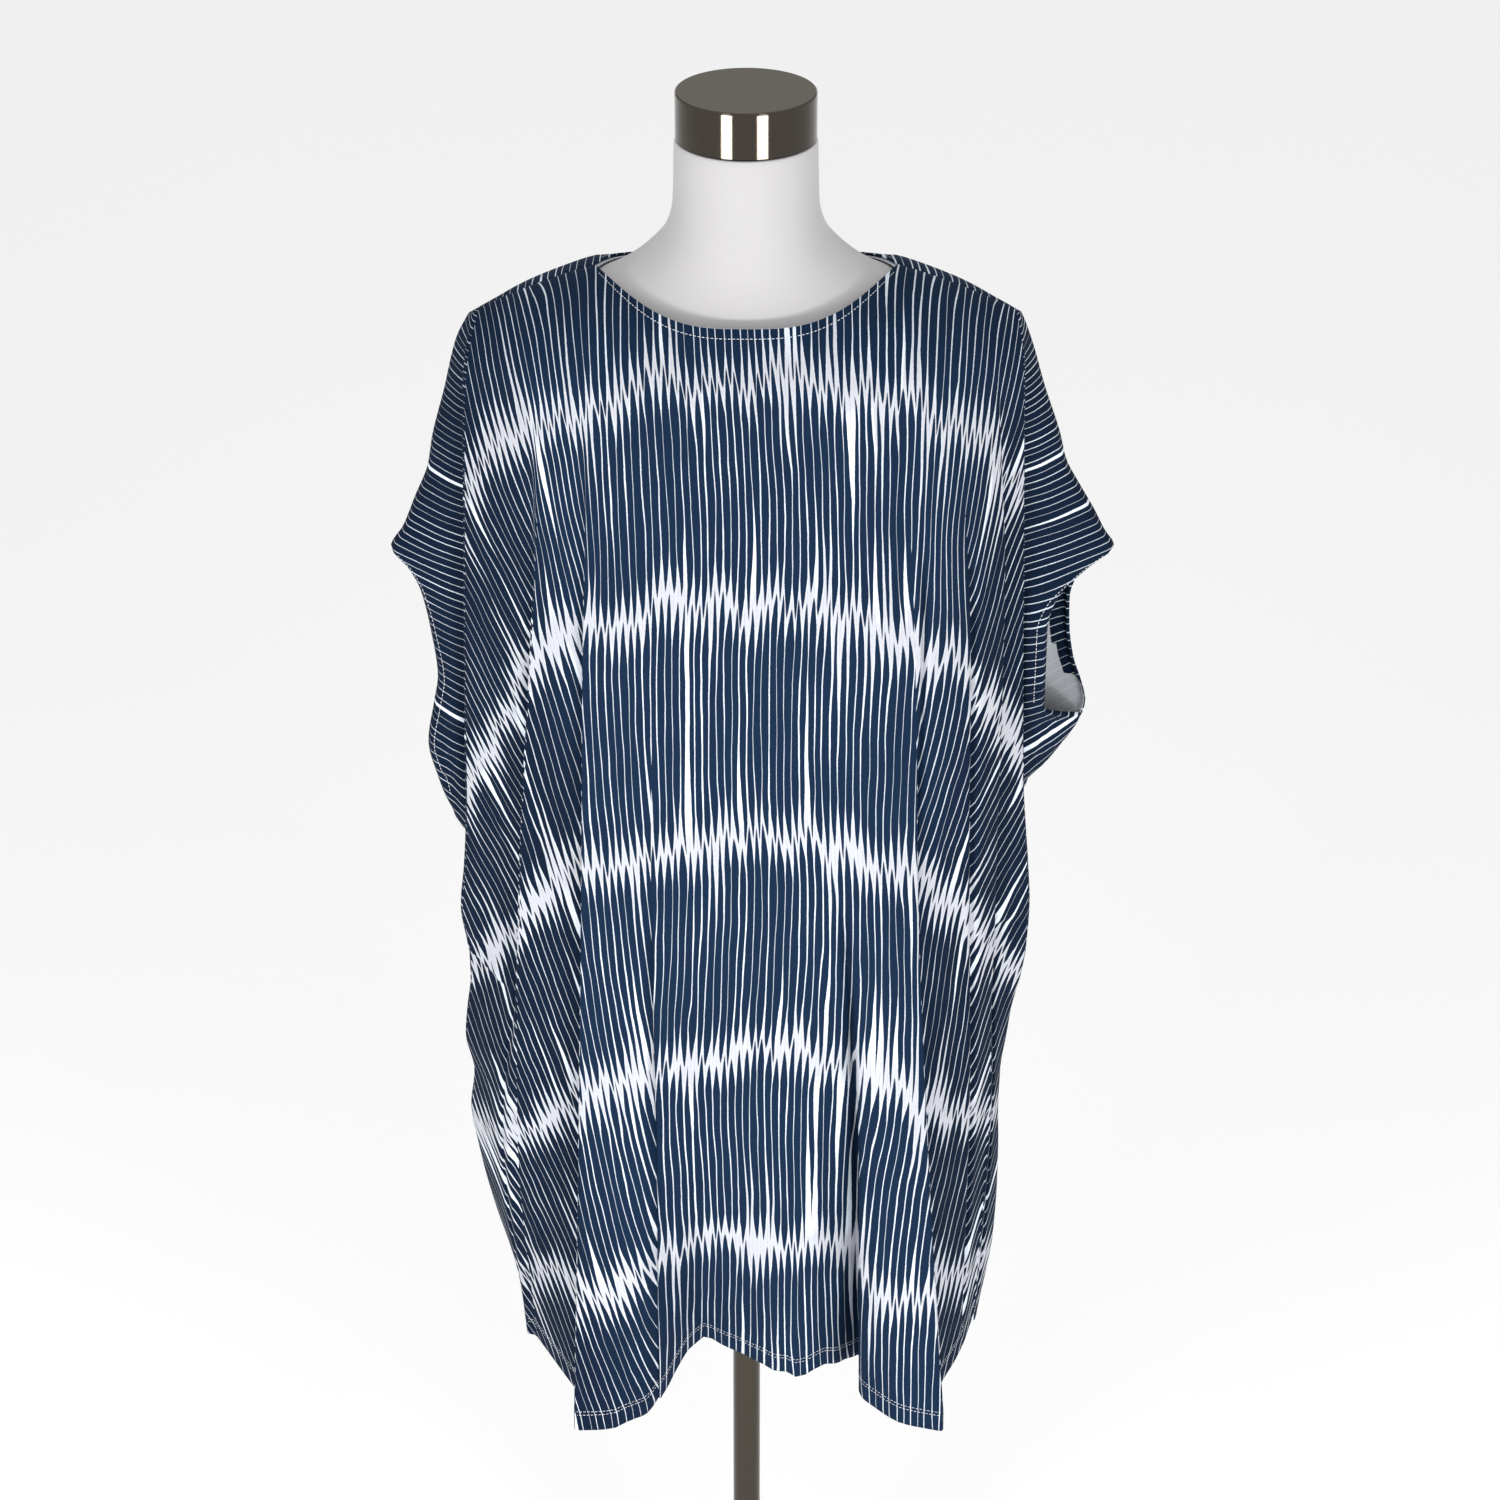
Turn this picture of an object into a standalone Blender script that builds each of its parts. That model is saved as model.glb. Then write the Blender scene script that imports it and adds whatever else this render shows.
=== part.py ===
"""A jersey dress with cut-on dolman sleeves, worn by a limbless dress form on a pole stand.

Metres, +Z up. The front of the dress faces -Y. Left and right are as seen from the front, so left is -X.
The origin is the centre of the stand's underside. Tables are in millimetres.
"""

from collections import namedtuple

import bmesh
import bpy
import numpy as np

MM = 0.001
FRONT = -1
BACK = 1
LEFT = -1
RIGHT = 1

# One layer of cloth, and the gap between the two centre edges of a seam on each side of it
WALL = 1.2 * MM
HALF_SEAM = 0.7 * MM

# Neckline, shoulder line and the rounding of the cloth over the shoulders
NECK_HALF = 116.5 * MM
NECK_SIDE_Z = 1461 * MM
NECK_RISE = {FRONT: -22.5 * MM, BACK: -26 * MM}
NECK_POWER = 2.85
SHOULDER_DROP = 0.30
SHOULDER_ROUND = 1.1
RIDGE_RISE = {FRONT: 8 * MM, BACK: 8 * MM}
CROWN_MIDDLE = {FRONT: 90 * MM, BACK: 100 * MM}
CROWN_TIP = {FRONT: 35 * MM, BACK: 46 * MM}
SHOULDER_TIP = 214 * MM

# Turned hems, where the wall is double
HEM_DEPTH = 22 * MM
CUFF_DEPTH = 14 * MM
CUFF_END = 20 * MM

# Side seams lie this far inside the outermost fold, and start below the sleeves
SEAM_INSET = 10 * MM
SEAM_BLEND = 28 * MM

# How far a sleeve stands open, where it is at least this wide, and how its layers turn at the overarm seam
WIDE_SLEEVE = 45 * MM
SLEEVE_HALF_DEPTH = 9 * MM
SLEEVE_BULGE = 5 * MM
SLEEVE_EDGE_TURN = 2.5 * MM

# Heights at which the folds' tables give their values
LEVELS = np.array((1420, 1200, 950, 700, 480)) * MM

# Rows of the sheets from the shoulder to the hem
ROWS = np.array(
    (1440, 1438.5, 1434, 1425, 1408, 1380, 1335, 1285, 1248, 1222, 1206, 1186, 1155, 1120, 1085)
    + (1062, 1038, 1012, 988, 960, 915, 855, 790, 720, 650, 580, 535, 502, 480)
) * MM
WIDEST_STEP = 17 * MM
TOP_BLEND_Z = 1300 * MM
HEM_BLEND_Z = 620 * MM

# Half widths of the body at its outermost fold
Body = namedtuple("Body", "z left right")
BODY = (
    Body(1430, 206, 206),
    Body(1420, 210.5, 210.5),
    Body(1400, 216, 214),
    Body(1360, 220, 216),
    Body(1280, 222.5, 218.5),
    Body(1200, 225, 221),
    Body(1100, 228, 224),
    Body(1020, 230, 227),
    Body(977, 231.5, 230.5),
    Body(944, 234, 233.5),
    Body(903, 238, 236),
    Body(861, 233, 234.5),
    Body(834, 232.5, 231),
    Body(800, 236.5, 224),
    Body(775, 238.5, 221),
    Body(738, 232.5, 216.5),
    Body(700, 236.5, 216),
    Body(660, 232, 217.5),
    Body(615, 224.5, 218),
    Body(560, 211, 216.5),
    Body(540, 201, 215),
    Body(512, 197, 211),
    Body(480, 197, 206),
)

# Overarm seam and cuff: distance from the middle and depth of the front's edge and of the back's
Edge = namedtuple("Edge", "z front_x front_y back_x back_y")
SLEEVE_EDGES = {
    LEFT: (
        Edge(1430, 209, 0, 209, 0),
        Edge(1420, 215, 0, 215, 0),
        Edge(1400, 225, 0, 225, 0),
        Edge(1357, 236, 0, 236, 0),
        Edge(1318, 246.5, 0, 246.5, 0),
        Edge(1293, 251, 0, 251, 0),
        Edge(1266, 262, 0, 262, 0),
        Edge(1241, 272, 0, 272, 0),
        Edge(1222, 283, 0, 282, 0),
        Edge(1208, 270, -6, 266, 6),
        Edge(1190, 260, -12, 255, 12),
        Edge(1160, 253, -17, 246, 18),
        Edge(1118, 248, -20, 241, 22),
        Edge(1093, 252, -20, 243, 22),
        Edge(1055, 258, -18, 248, 20),
        Edge(1022, 252.5, -12, 245, 14),
        Edge(999, 247.5, -6, 242, 7),
        Edge(980, 241, 0, 241, 0),
    ),
    RIGHT: (
        Edge(1430, 208, 0, 208, 0),
        Edge(1419, 214, 0, 214, 0),
        Edge(1393, 223.5, 0, 223.5, 0),
        Edge(1362, 232.5, 0, 232.5, 0),
        Edge(1320, 246.5, 0, 246.5, 0),
        Edge(1298, 252, 0, 252, 0),
        Edge(1277, 263, 0, 263, 0),
        Edge(1256, 275, 0, 275, 0),
        Edge(1237, 284.5, 0, 284.5, 0),
        Edge(1223, 293, 0, 292, 0),
        Edge(1212, 276, -8, 285, 8),
        Edge(1200, 258, -19, 275, 14),
        Edge(1187, 246, -28, 266.5, 20),
        Edge(1165, 239.5, -35, 261.5, 25),
        Edge(1138, 239.5, -36, 262.5, 27),
        Edge(1111, 239.5, -34, 266.5, 25),
        Edge(1092, 240, -28, 273.5, 15),
        Edge(1082, 256, -16, 276, 6),
        Edge(1072, 272, 0, 273, 0),
        Edge(1058, 266, 0, 266, 0),
        Edge(1043, 256.5, 0, 256.5, 0),
        Edge(1028, 246, 0, 246, 0),
        Edge(1012, 231, 0, 231, 0),
    ),
}
CUFF_TOP = {LEFT: 1222 * MM, RIGHT: 1223 * MM}
CUFF_LOW = {LEFT: 980 * MM, RIGHT: 1072 * MM}
SEAM_TOP = {LEFT: 980 * MM, RIGHT: 1012 * MM}
SEAM_Y = np.array((0, 0, -4, 10, 34)) * MM

# The outermost fold of each side, at the body's half width
Rim = namedtuple("Rim", "inset y lap step hem turn")
# Folds whose cloth laps behind an edge, and open bends
Fold = namedtuple("Fold", "faces x y lap step hem turn")
Bend = namedtuple("Bend", "x y hem turn")

FRONT_RIMS = {
    LEFT: Rim(0, (-30, -50, -28, -10, 15), (-1.5, 12, 7, 7, 7), (3, 16, 12, 10, 10), 489, 0.2),
    RIGHT: Rim(0, (-30, -38, -24, -9, 13), (-1.5, 8, 7, 7, 7), (3, 12, 12, 10, 10), 486, 0.2),
}
FRONT_FOLDS = (
    Fold(LEFT, (-153, -168, -186, -194, -184), (-82, -92, -84, -76, -40), (-12, 3, 10, -10, -8),
         (0, 6, 11, 2, 3), 480, 0.15),
    Fold(LEFT, (-116.5, -127, -133.5, -140.5, -147), (-94, -118, -124, -134, -155), (-10, 5, 9, 9, 3),
         (0, 8, 12, 22, 50), 465, 0.12),
    Bend((-88, -98, -104, -108, -112), (-100, -129, -134, -143, -154), 465, 0.45),
    Bend((-60, -70, -74, -71.5, -72), (-102, -134, -139, -140, -128), 478, 0.3),
    Bend((-32, -34, -36, -37, -38), (-103, -135, -135, -122, -54), 494, 0.35),
    Bend((3, 3, 2, 3, 5), (-103, -135, -134, -125, -90), 492, 0.4),
    Bend((40, 44, 46, 48, 50), (-103, -135, -135, -130, -113), 490, 0.35),
    Fold(LEFT, (75, 84, 89, 92.5, 95.5), (-102, -133, -138, -135, -121), (-14, -14, -10, 3, 4),
         (0, 0, 0, 24, 56), 476, 0.2),
    Bend((97, 106, 112, 120, 128), (-99, -128, -135, -146, -149), 468, 0.4),
    Fold(RIGHT, (116.5, 131, 139, 153, 168), (-94, -116, -122, -136, -157), (-10, -6, 7, 9, 4),
         (0, 2, 10, 24, 58), 465, 0.12),
    Bend((150, 172, 180, 188, 187), (-84, -92, -86, -70, -58), 477, 0.4),
    Fold(RIGHT, (190, 204.5, 205.5, 203, 197), (-50, -62, -54, -42, -22), (-5, 8, 8, -5, -4),
         (0, 8, 8, 2, 3), 482, 0.2),
)

BACK_RIMS = {
    LEFT: Rim(6, (30, 44, 42, 50, 66), (-1.5, 9, -4, -4, -4), (3, 14, 8, 8, 8), 492, 0.3),
    RIGHT: Rim(6, (30, 46, 40, 52, 64), (-1.5, 9, -4, -4, -4), (3, 14, 8, 8, 8), 490, 0.3),
}
BACK_FOLDS = (
    Bend((-175, -186, -190, -186, -172), (72, 88, 84, 94, 104), 492, 0.4),
    Fold(LEFT, (-116.5, -126, -132, -136, -140), (92, 116, 118, 132, 146), (-10, -8, -4, 6, 6),
         (0, 2, 6, 16, 26), 487, 0.2),
    Bend((-84, -90, -94, -96, -98), (100, 126, 126, 140, 152), 486, 0.45),
    Bend((-38, -42, -46, -48, -50), (103, 128, 122, 126, 124), 490, 0.4),
    Bend((2, 2, 2, 2, 2), (104, 126, 116, 114, 106), 494, 0.45),
    Bend((44, 48, 50, 54, 58), (103, 128, 121, 126, 130), 491, 0.4),
    Bend((86, 92, 96, 100, 104), (99, 126, 126, 142, 154), 487, 0.45),
    Fold(RIGHT, (116.5, 128, 136, 142, 148), (92, 116, 118, 130, 140), (-10, -8, -4, 6, 6),
         (0, 2, 6, 16, 24), 488, 0.2),
    Bend((172, 182, 186, 184, 176), (74, 88, 84, 92, 100), 491, 0.4),
)

# Cross-sections of the dress form, from its underside to the top of the neck
Ring = namedtuple("Ring", "half_width front back z_side z_front z_back power")
FORM_RINGS = (
    Ring(60, 40, 45, 712, 712, 712, 2.0),
    Ring(138, 86, 84, 714, 714, 714, 2.2),
    Ring(152, 96, 94, 728, 728, 728, 2.3),
    Ring(170, 102, 102, 800, 800, 800, 2.3),
    Ring(173, 98, 101, 880, 880, 880, 2.3),
    Ring(152, 90, 86, 980, 980, 980, 2.2),
    Ring(128, 86, 78, 1065, 1065, 1065, 2.1),
    Ring(136, 98, 82, 1145, 1145, 1145, 2.2),
    Ring(152, 120, 94, 1225, 1225, 1225, 2.5),
    Ring(160, 121, 102, 1275, 1275, 1275, 2.5),
    Ring(176, 110, 104, 1325, 1325, 1325, 2.4),
    Ring(196, 101, 100, 1368, 1368, 1368, 2.2),
    Ring(204, 92, 92, 1402, 1400, 1392, 2.0),
    Ring(195, 85, 76, 1428.5, 1414, 1406, 1.9),
    Ring(169, 78, 75, 1440.5, 1426, 1423, 1.9),
    Ring(126, 69, 70, 1451.2, 1437, 1435, 2.0),
    Ring(101, 64, 62, 1459.8, 1451, 1448, 2.0),
    Ring(76, 59, 58, 1476, 1470, 1476, 2.0),
    Ring(61, 57, 57, 1494, 1490, 1494, 2.0),
    Ring(56, 56, 56, 1514, 1514, 1514, 2.0),
    Ring(54.6, 54.6, 54.6, 1561, 1561, 1561, 2.0),
    Ring(53, 53, 53, 1562.5, 1562.5, 1562.5, 2.0),
    Ring(25, 25, 25, 1562.5, 1562.5, 1562.5, 2.0),
)
FORM_SIDES = 32
FORM_HEIGHTS = 24

# Neck cap, pole and base
CAP_RADIUS = 54 * MM
CAP_BOTTOM = 1563 * MM
CAP_TOP = 1600 * MM
CAP_BEVEL = 1.5 * MM
POLE_RADIUS = 12 * MM
POLE_TOP = 711.5 * MM
BASE_RADIUS = 145 * MM
BASE_EDGE = 6 * MM
BASE_RISE = 13 * MM
BOSS_RADIUS = 21 * MM
BOSS_TOP = 40 * MM
CONTACT_GAP = 0.3 * MM

# Neck binding: how far it shows inside the neckline, how deep it is and how thick
BINDING_SHOWS = 1.2 * MM
BINDING_DEPTH = 10 * MM
BINDING_WALL = 1.0 * MM
BINDING_BELOW = 2.5 * MM
BINDING_POINTS = 60


def smooth(levels, values, z):
    """Values read at z from a table, along a curve that never overshoots them."""
    levels = np.asarray(levels, float)
    values = np.asarray(values, float)
    if levels[0] > levels[-1]:
        levels = levels[::-1]
        values = values[::-1]
    span = np.diff(levels)
    slope = np.diff(values) / span
    product = slope[:-1] * slope[1:]
    total = np.where(product > 0, slope[:-1] + slope[1:], 1)
    mean = np.where(product > 0, 2 * product / total, 0)
    tangent = np.concatenate(([slope[0]], mean, [slope[-1]]))
    z = np.clip(z, levels[0], levels[-1])
    i = np.clip(np.searchsorted(levels, z) - 1, 0, len(span) - 1)
    t = (z - levels[i]) / span[i]
    start = (1 + 2 * t) * (1 - t) ** 2 * values[i] + t * (1 - t) ** 2 * span[i] * tangent[i]
    end = t**2 * (3 - 2 * t) * values[i + 1] + t**2 * (t - 1) * span[i] * tangent[i + 1]
    return start + end


def table(rows, column, z):
    """One column of a table with a z column, read at z."""
    return smooth([row.z * MM for row in rows], [getattr(row, column) * MM for row in rows], z)


def ease(t):
    t = np.clip(t, 0, 1)
    return t * t * (3 - 2 * t)


def body_half(side, z):
    return table(BODY, "left" if side == LEFT else "right", z)


def sheet_edge(face, side, z):
    """Where a sheet ends: the overarm seam, the cuff, then the side seam behind the outermost fold."""
    name = "front" if face == FRONT else "back"
    sleeve_x = table(SLEEVE_EDGES[side], name + "_x", z)
    sleeve_y = table(SLEEVE_EDGES[side], name + "_y", z)
    seam_x = body_half(side, z) - SEAM_INSET
    seam_y = smooth(LEVELS, SEAM_Y, z)
    on_sleeve = ease((z - SEAM_TOP[side] + SEAM_BLEND) / SEAM_BLEND)
    x = side * (seam_x + (sleeve_x - seam_x) * on_sleeve)
    y = seam_y + (sleeve_y - seam_y) * on_sleeve
    return x, y


def sleeve_nodes(face, side, rim, z):
    """The sleeve's half of a section, from the seam or cuff in to the outermost fold of the body."""
    nose_x = side * (body_half(side, z) - rim.inset * MM)
    nose_y = smooth(LEVELS, np.array(rim.y) * MM, z)
    tail_x = nose_x - side * smooth(LEVELS, np.array(rim.lap) * MM, z)
    tail_y = nose_y - face * smooth(LEVELS, np.array(rim.step) * MM, z)
    edge_x, edge_y = sheet_edge(face, side, z)
    width = side * (edge_x - tail_x)
    puff = np.clip(width / WIDE_SLEEVE, 0, 1)
    ridge_x = edge_x - side * np.clip(0.12 * width, 0, SLEEVE_EDGE_TURN)
    ridge_y = edge_y + face * SLEEVE_HALF_DEPTH * puff + (tail_y - edge_y) * 0.2 * (1 - puff)
    middle_x = (tail_x + ridge_x) / 2
    middle_y = (tail_y + ridge_y) / 2 + face * SLEEVE_BULGE * puff
    return [(edge_x, edge_y), (ridge_x, ridge_y), (middle_x, middle_y), (tail_x, tail_y), (nose_x, nose_y)]


def section(face, z):
    """The points that a sheet's section bends at, at height z, from left to right."""
    rims = FRONT_RIMS if face == FRONT else BACK_RIMS
    folds = FRONT_FOLDS if face == FRONT else BACK_FOLDS
    nodes = sleeve_nodes(face, LEFT, rims[LEFT], z)
    for fold in folds:
        x = smooth(LEVELS, np.array(fold.x) * MM, z)
        y = smooth(LEVELS, np.array(fold.y) * MM, z)
        if isinstance(fold, Bend):
            nodes.append((x, y))
            continue
        lap = smooth(LEVELS, np.array(fold.lap) * MM, z)
        step = smooth(LEVELS, np.array(fold.step) * MM, z)
        tail = (x - fold.faces * lap, y - face * step)
        nodes += [tail, (x, y)] if fold.faces == LEFT else [(x, y), tail]
    nodes += sleeve_nodes(face, RIGHT, rims[RIGHT], z)[::-1]
    return np.array(nodes)


def node_values(face):
    """For each bend of a section: how much of each side it rounds off, and the hem's height there."""
    rims = FRONT_RIMS if face == FRONT else BACK_RIMS
    folds = FRONT_FOLDS if face == FRONT else BACK_FOLDS
    left = rims[LEFT]
    right = rims[RIGHT]
    turns = [0.0, 0.3, 0.4, 0.25, left.turn]
    hems = [left.hem + 6, left.hem + 5, left.hem + 4, left.hem + 2, left.hem]
    for fold in folds:
        count = 1 if isinstance(fold, Bend) else 2
        turns += [fold.turn] * count
        hems += [fold.hem] * count
    turns += [right.turn, 0.25, 0.4, 0.3, 0.0]
    hems += [right.hem, right.hem + 2, right.hem + 4, right.hem + 5, right.hem + 6]
    return np.array(turns), np.array(hems) * MM


def neck_share(x):
    """0 at both corners of the neckline and beyond, 1 in its middle."""
    return (1 - np.minimum(np.abs(x) / NECK_HALF, 1) ** NECK_POWER) ** 2


def ridge_height(face, x):
    """Height of the shoulder line, and of its continuation over the neck."""
    out = np.maximum(np.abs(x) - NECK_HALF, 0)
    return NECK_SIDE_Z - SHOULDER_DROP * out - SHOULDER_ROUND * out**2 + RIDGE_RISE[face] * neck_share(x)


def top_height(face, x):
    """Height of a sheet's upper edge: the neckline, then the shoulder seam."""
    neck = NECK_SIDE_Z + NECK_RISE[face] * neck_share(x)
    return np.where(np.abs(x) < NECK_HALF, neck, ridge_height(face, x))


def crown_depth(face, x):
    """How far below the ridge the cloth has rounded over to hang."""
    share = np.minimum(np.abs(x) / SHOULDER_TIP, 1) ** 1.5
    return CROWN_MIDDLE[face] + (CROWN_TIP[face] - CROWN_MIDDLE[face]) * share


def on_section(face, u, z):
    """The point at u on a section, u counting its bends and each bend rounded off by its own share."""
    nodes = section(face, z)
    turns = node_values(face)[0]
    near = np.clip(np.rint(u).astype(int), 0, len(turns) - 1)
    before = np.maximum(near - 1, 0)
    after = np.minimum(near + 1, len(turns) - 1)
    column = np.arange(len(u))
    here = nodes[near, ..., column]
    back = nodes[before, ..., column]
    ahead = nodes[after, ..., column]
    off = u - near
    turn = np.maximum(turns[near], 1e-6)
    t = np.clip((off + turn) / (2 * turn), 0, 1)
    inside = np.abs(off) < turn
    share_back = np.where(inside, turn * (1 - t) ** 2, np.maximum(-off, 0))
    share_ahead = np.where(inside, turn * t**2, np.maximum(off, 0))
    shape = (-1,) + (1,) * (here.ndim - 1)
    share_back = share_back.reshape(shape)
    share_ahead = share_ahead.reshape(shape)
    return here + (back - here) * share_back + (ahead - here) * share_ahead


def cloth_point(face, u, z):
    """x and y of a sheet at u and height z, with its crown over the shoulders."""
    point = on_section(face, u, z)
    x = np.moveaxis(point[:, 0], 0, -1)
    y = np.moveaxis(point[:, 1], 0, -1)
    below = np.clip((ridge_height(face, x) - z) / crown_depth(face, x), 0, 1)
    crown = np.sqrt(1 - (1 - below) ** 2)
    return x, y * crown + face * HALF_SEAM


def cloth_grid(face, u, rows):
    """Points of a sheet: a row for each height, following the shoulder at the top and the hem below."""
    hems = node_values(face)[1]
    hem = np.interp(u, np.arange(len(hems)), hems)
    top = np.full(len(u), rows[0])
    for _ in range(12):
        x, _y = cloth_point(face, u, top)
        top = top_height(face, x)
    near_top = np.clip((rows - TOP_BLEND_Z) / (rows[0] - TOP_BLEND_Z), 0, 1)[:, None]
    near_hem = np.clip((HEM_BLEND_Z - rows) / (HEM_BLEND_Z - rows[-1]), 0, 1)[:, None]
    z = rows[:, None] + near_top * (top - rows[0]) + near_hem * (hem - rows[-1])
    x, y = cloth_point(face, u, z)
    return np.stack((x, y, z), axis=-1)


def columns(face):
    """Where the columns of a sheet lie: two or three at each turn, and more round the neckline's corners."""
    turns = node_values(face)[0]
    places = [0.0]
    for i in range(1, len(turns) - 1):
        reach = min(turns[i], 0.25)
        places += [i - reach, i, i + reach] if turns[i] <= 0.15 else [i - reach, i + reach]
    places.append(len(turns) - 1.0)
    for _ in range(2):
        top = cloth_grid(face, np.array(places), ROWS)[0]
        step = np.linalg.norm(np.diff(top, axis=0), axis=1)
        from_middle = np.abs(top[:-1, 0] + top[1:, 0]) / 2 / NECK_HALF
        wide = np.nonzero((step > WIDEST_STEP) & (from_middle > 0.6) & (from_middle < 1.2))[0]
        between = [(places[i] + places[i + 1]) / 2 for i in wide]
        places = np.sort(np.concatenate((places, between)))
    return places


def material(name, colour, roughness, metallic=0.0):
    made = bpy.data.materials.new(name)
    made.use_nodes = True
    shader = made.node_tree.nodes["Principled BSDF"]
    shader.inputs["Base Color"].default_value = (*colour, 1)
    shader.inputs["Roughness"].default_value = roughness
    shader.inputs["Metallic"].default_value = metallic
    made.diffuse_color = (*colour, 1)
    return made


def keep(mesh, name, look):
    """Puts a mesh into the object's collection under its own name, smooth but for its sharp edges."""
    mesh.shade_smooth()
    mesh.set_sharp_from_angle(angle=np.radians(40))
    mesh.materials.append(look)
    made = bpy.data.objects.new(name, mesh)
    collection.objects.link(made)
    return made


def shaped_grid(name, points):
    """A grid primitive whose vertices are moved to the points, an array of rows."""
    row_count, column_count = points.shape[:2]
    shape = bmesh.new()
    bmesh.ops.create_grid(shape, x_segments=column_count - 1, y_segments=row_count - 1, size=1)
    for vertex in shape.verts:
        column = round((vertex.co.x + 1) / 2 * (column_count - 1))
        row = round((1 - vertex.co.y) / 2 * (row_count - 1))
        vertex.co = points[row, column]
    mesh = bpy.data.meshes.new(name)
    shape.to_mesh(mesh)
    shape.free()
    return mesh


def double_here(points, face):
    """1 for each point that lies in a turned hem or cuff, else 0."""
    x = points[..., 0]
    z = points[..., 2]
    turned = (z - z[-1]) < HEM_DEPTH + MM
    for side, edge in ((LEFT, 0), (RIGHT, -1)):
        from_edge = np.abs(x - x[:, edge][:, None])
        in_cuff = (z < CUFF_TOP[side]) & (z > CUFF_LOW[side] + CUFF_END) & (from_edge < CUFF_DEPTH)
        turned |= in_cuff & (side * x > 0)
    return turned


def make_sheet(name, face, look):
    """The front or the back: an open sheet with its wall inside, double in the turned hems."""
    points = cloth_grid(face, columns(face), ROWS)
    turned = double_here(points, face)
    if face == BACK:
        points = points[:, ::-1]
        turned = turned[:, ::-1]
    mesh = shaped_grid(name, points)
    sheet = keep(mesh, name, look)
    layers = sheet.vertex_groups.new(name="layers")
    places = points.reshape(-1, 3)
    doubled = turned.ravel()
    for vertex in mesh.vertices:
        nearest = np.argmin(((places - np.array(vertex.co)) ** 2).sum(1))
        layers.add([vertex.index], 1.0 if doubled[nearest] else 0.5, "REPLACE")
    wall = sheet.modifiers.new("wall", "SOLIDIFY")
    wall.thickness = 2 * WALL
    wall.offset = -1
    wall.vertex_group = "layers"
    return sheet


def yoke_height(face, x, y):
    """Height of the cloth over the shoulders at a place seen from above."""
    on_body = section(face, LEVELS[:1])[3:-3, :, 0]
    reach = np.interp(x, on_body[:, 0], np.abs(on_body[:, 1]))
    share = np.clip(np.abs(y) / reach, 0, 0.98)
    return ridge_height(face, x) - crown_depth(face, x) * (1 - np.sqrt(1 - share**2))


def neck_loop():
    """The neckline seen from above, evenly spaced, going round from the left corner by the front."""
    halves = []
    for face, order in ((FRONT, 1), (BACK, -1)):
        turns = node_values(face)[0]
        u = np.linspace(0, len(turns) - 1, 600)
        top = cloth_grid(face, u, ROWS)[0]
        halves.append(top[np.abs(top[:, 0]) < NECK_HALF][::order, :2])
    loop = np.concatenate(halves + [halves[0][:1]])
    length = np.concatenate(([0], np.cumsum(np.linalg.norm(np.diff(loop, axis=0), axis=1))))
    at = np.linspace(0, length[-1], BINDING_POINTS, endpoint=False)
    return np.stack([np.interp(at, length, loop[:, axis]) for axis in (0, 1)], axis=1)


def yoke_point(place, below):
    """Points under the cloth over the shoulders: seen from above at place, and moved below its surface."""
    def height(x, y):
        toward_back = ease((y + 6 * MM) / (12 * MM))
        front = yoke_height(FRONT, x, y)
        return front + (yoke_height(BACK, x, y) - front) * toward_back

    x, y = place.T
    z = height(x, y)
    slope_x = (height(x + MM, y) - z) / MM
    slope_y = (height(x, y + MM) - z) / MM
    normal = np.column_stack((-slope_x, -slope_y, np.ones(len(x))))
    normal /= np.linalg.norm(normal, axis=1)[:, None]
    return np.column_stack((x, y, z)) - normal * below


def make_binding(look):
    """A strip inside the neckline, just under the cloth, with its upper edge showing."""
    loop = neck_loop()
    along = np.roll(loop, -1, axis=0) - np.roll(loop, 1, axis=0)
    outward = np.stack((along[:, 1], -along[:, 0]), axis=1)
    outward /= np.linalg.norm(outward, axis=1)[:, None]
    rings = []
    for reach in (-BINDING_SHOWS, 0.45 * BINDING_DEPTH, BINDING_DEPTH):
        rings.append(yoke_point(loop + outward * reach, BINDING_BELOW))
    rings = np.array(rings)
    closed = np.concatenate((rings, rings[:, :1]), axis=1)
    mesh = shaped_grid("neck_binding", closed)
    shape = bmesh.new()
    shape.from_mesh(mesh)
    bmesh.ops.remove_doubles(shape, verts=shape.verts, dist=1e-5)
    shape.to_mesh(mesh)
    shape.free()
    strip = keep(mesh, "neck_binding", look)
    wall = strip.modifiers.new("wall", "SOLIDIFY")
    wall.thickness = BINDING_WALL
    wall.offset = -1


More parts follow.
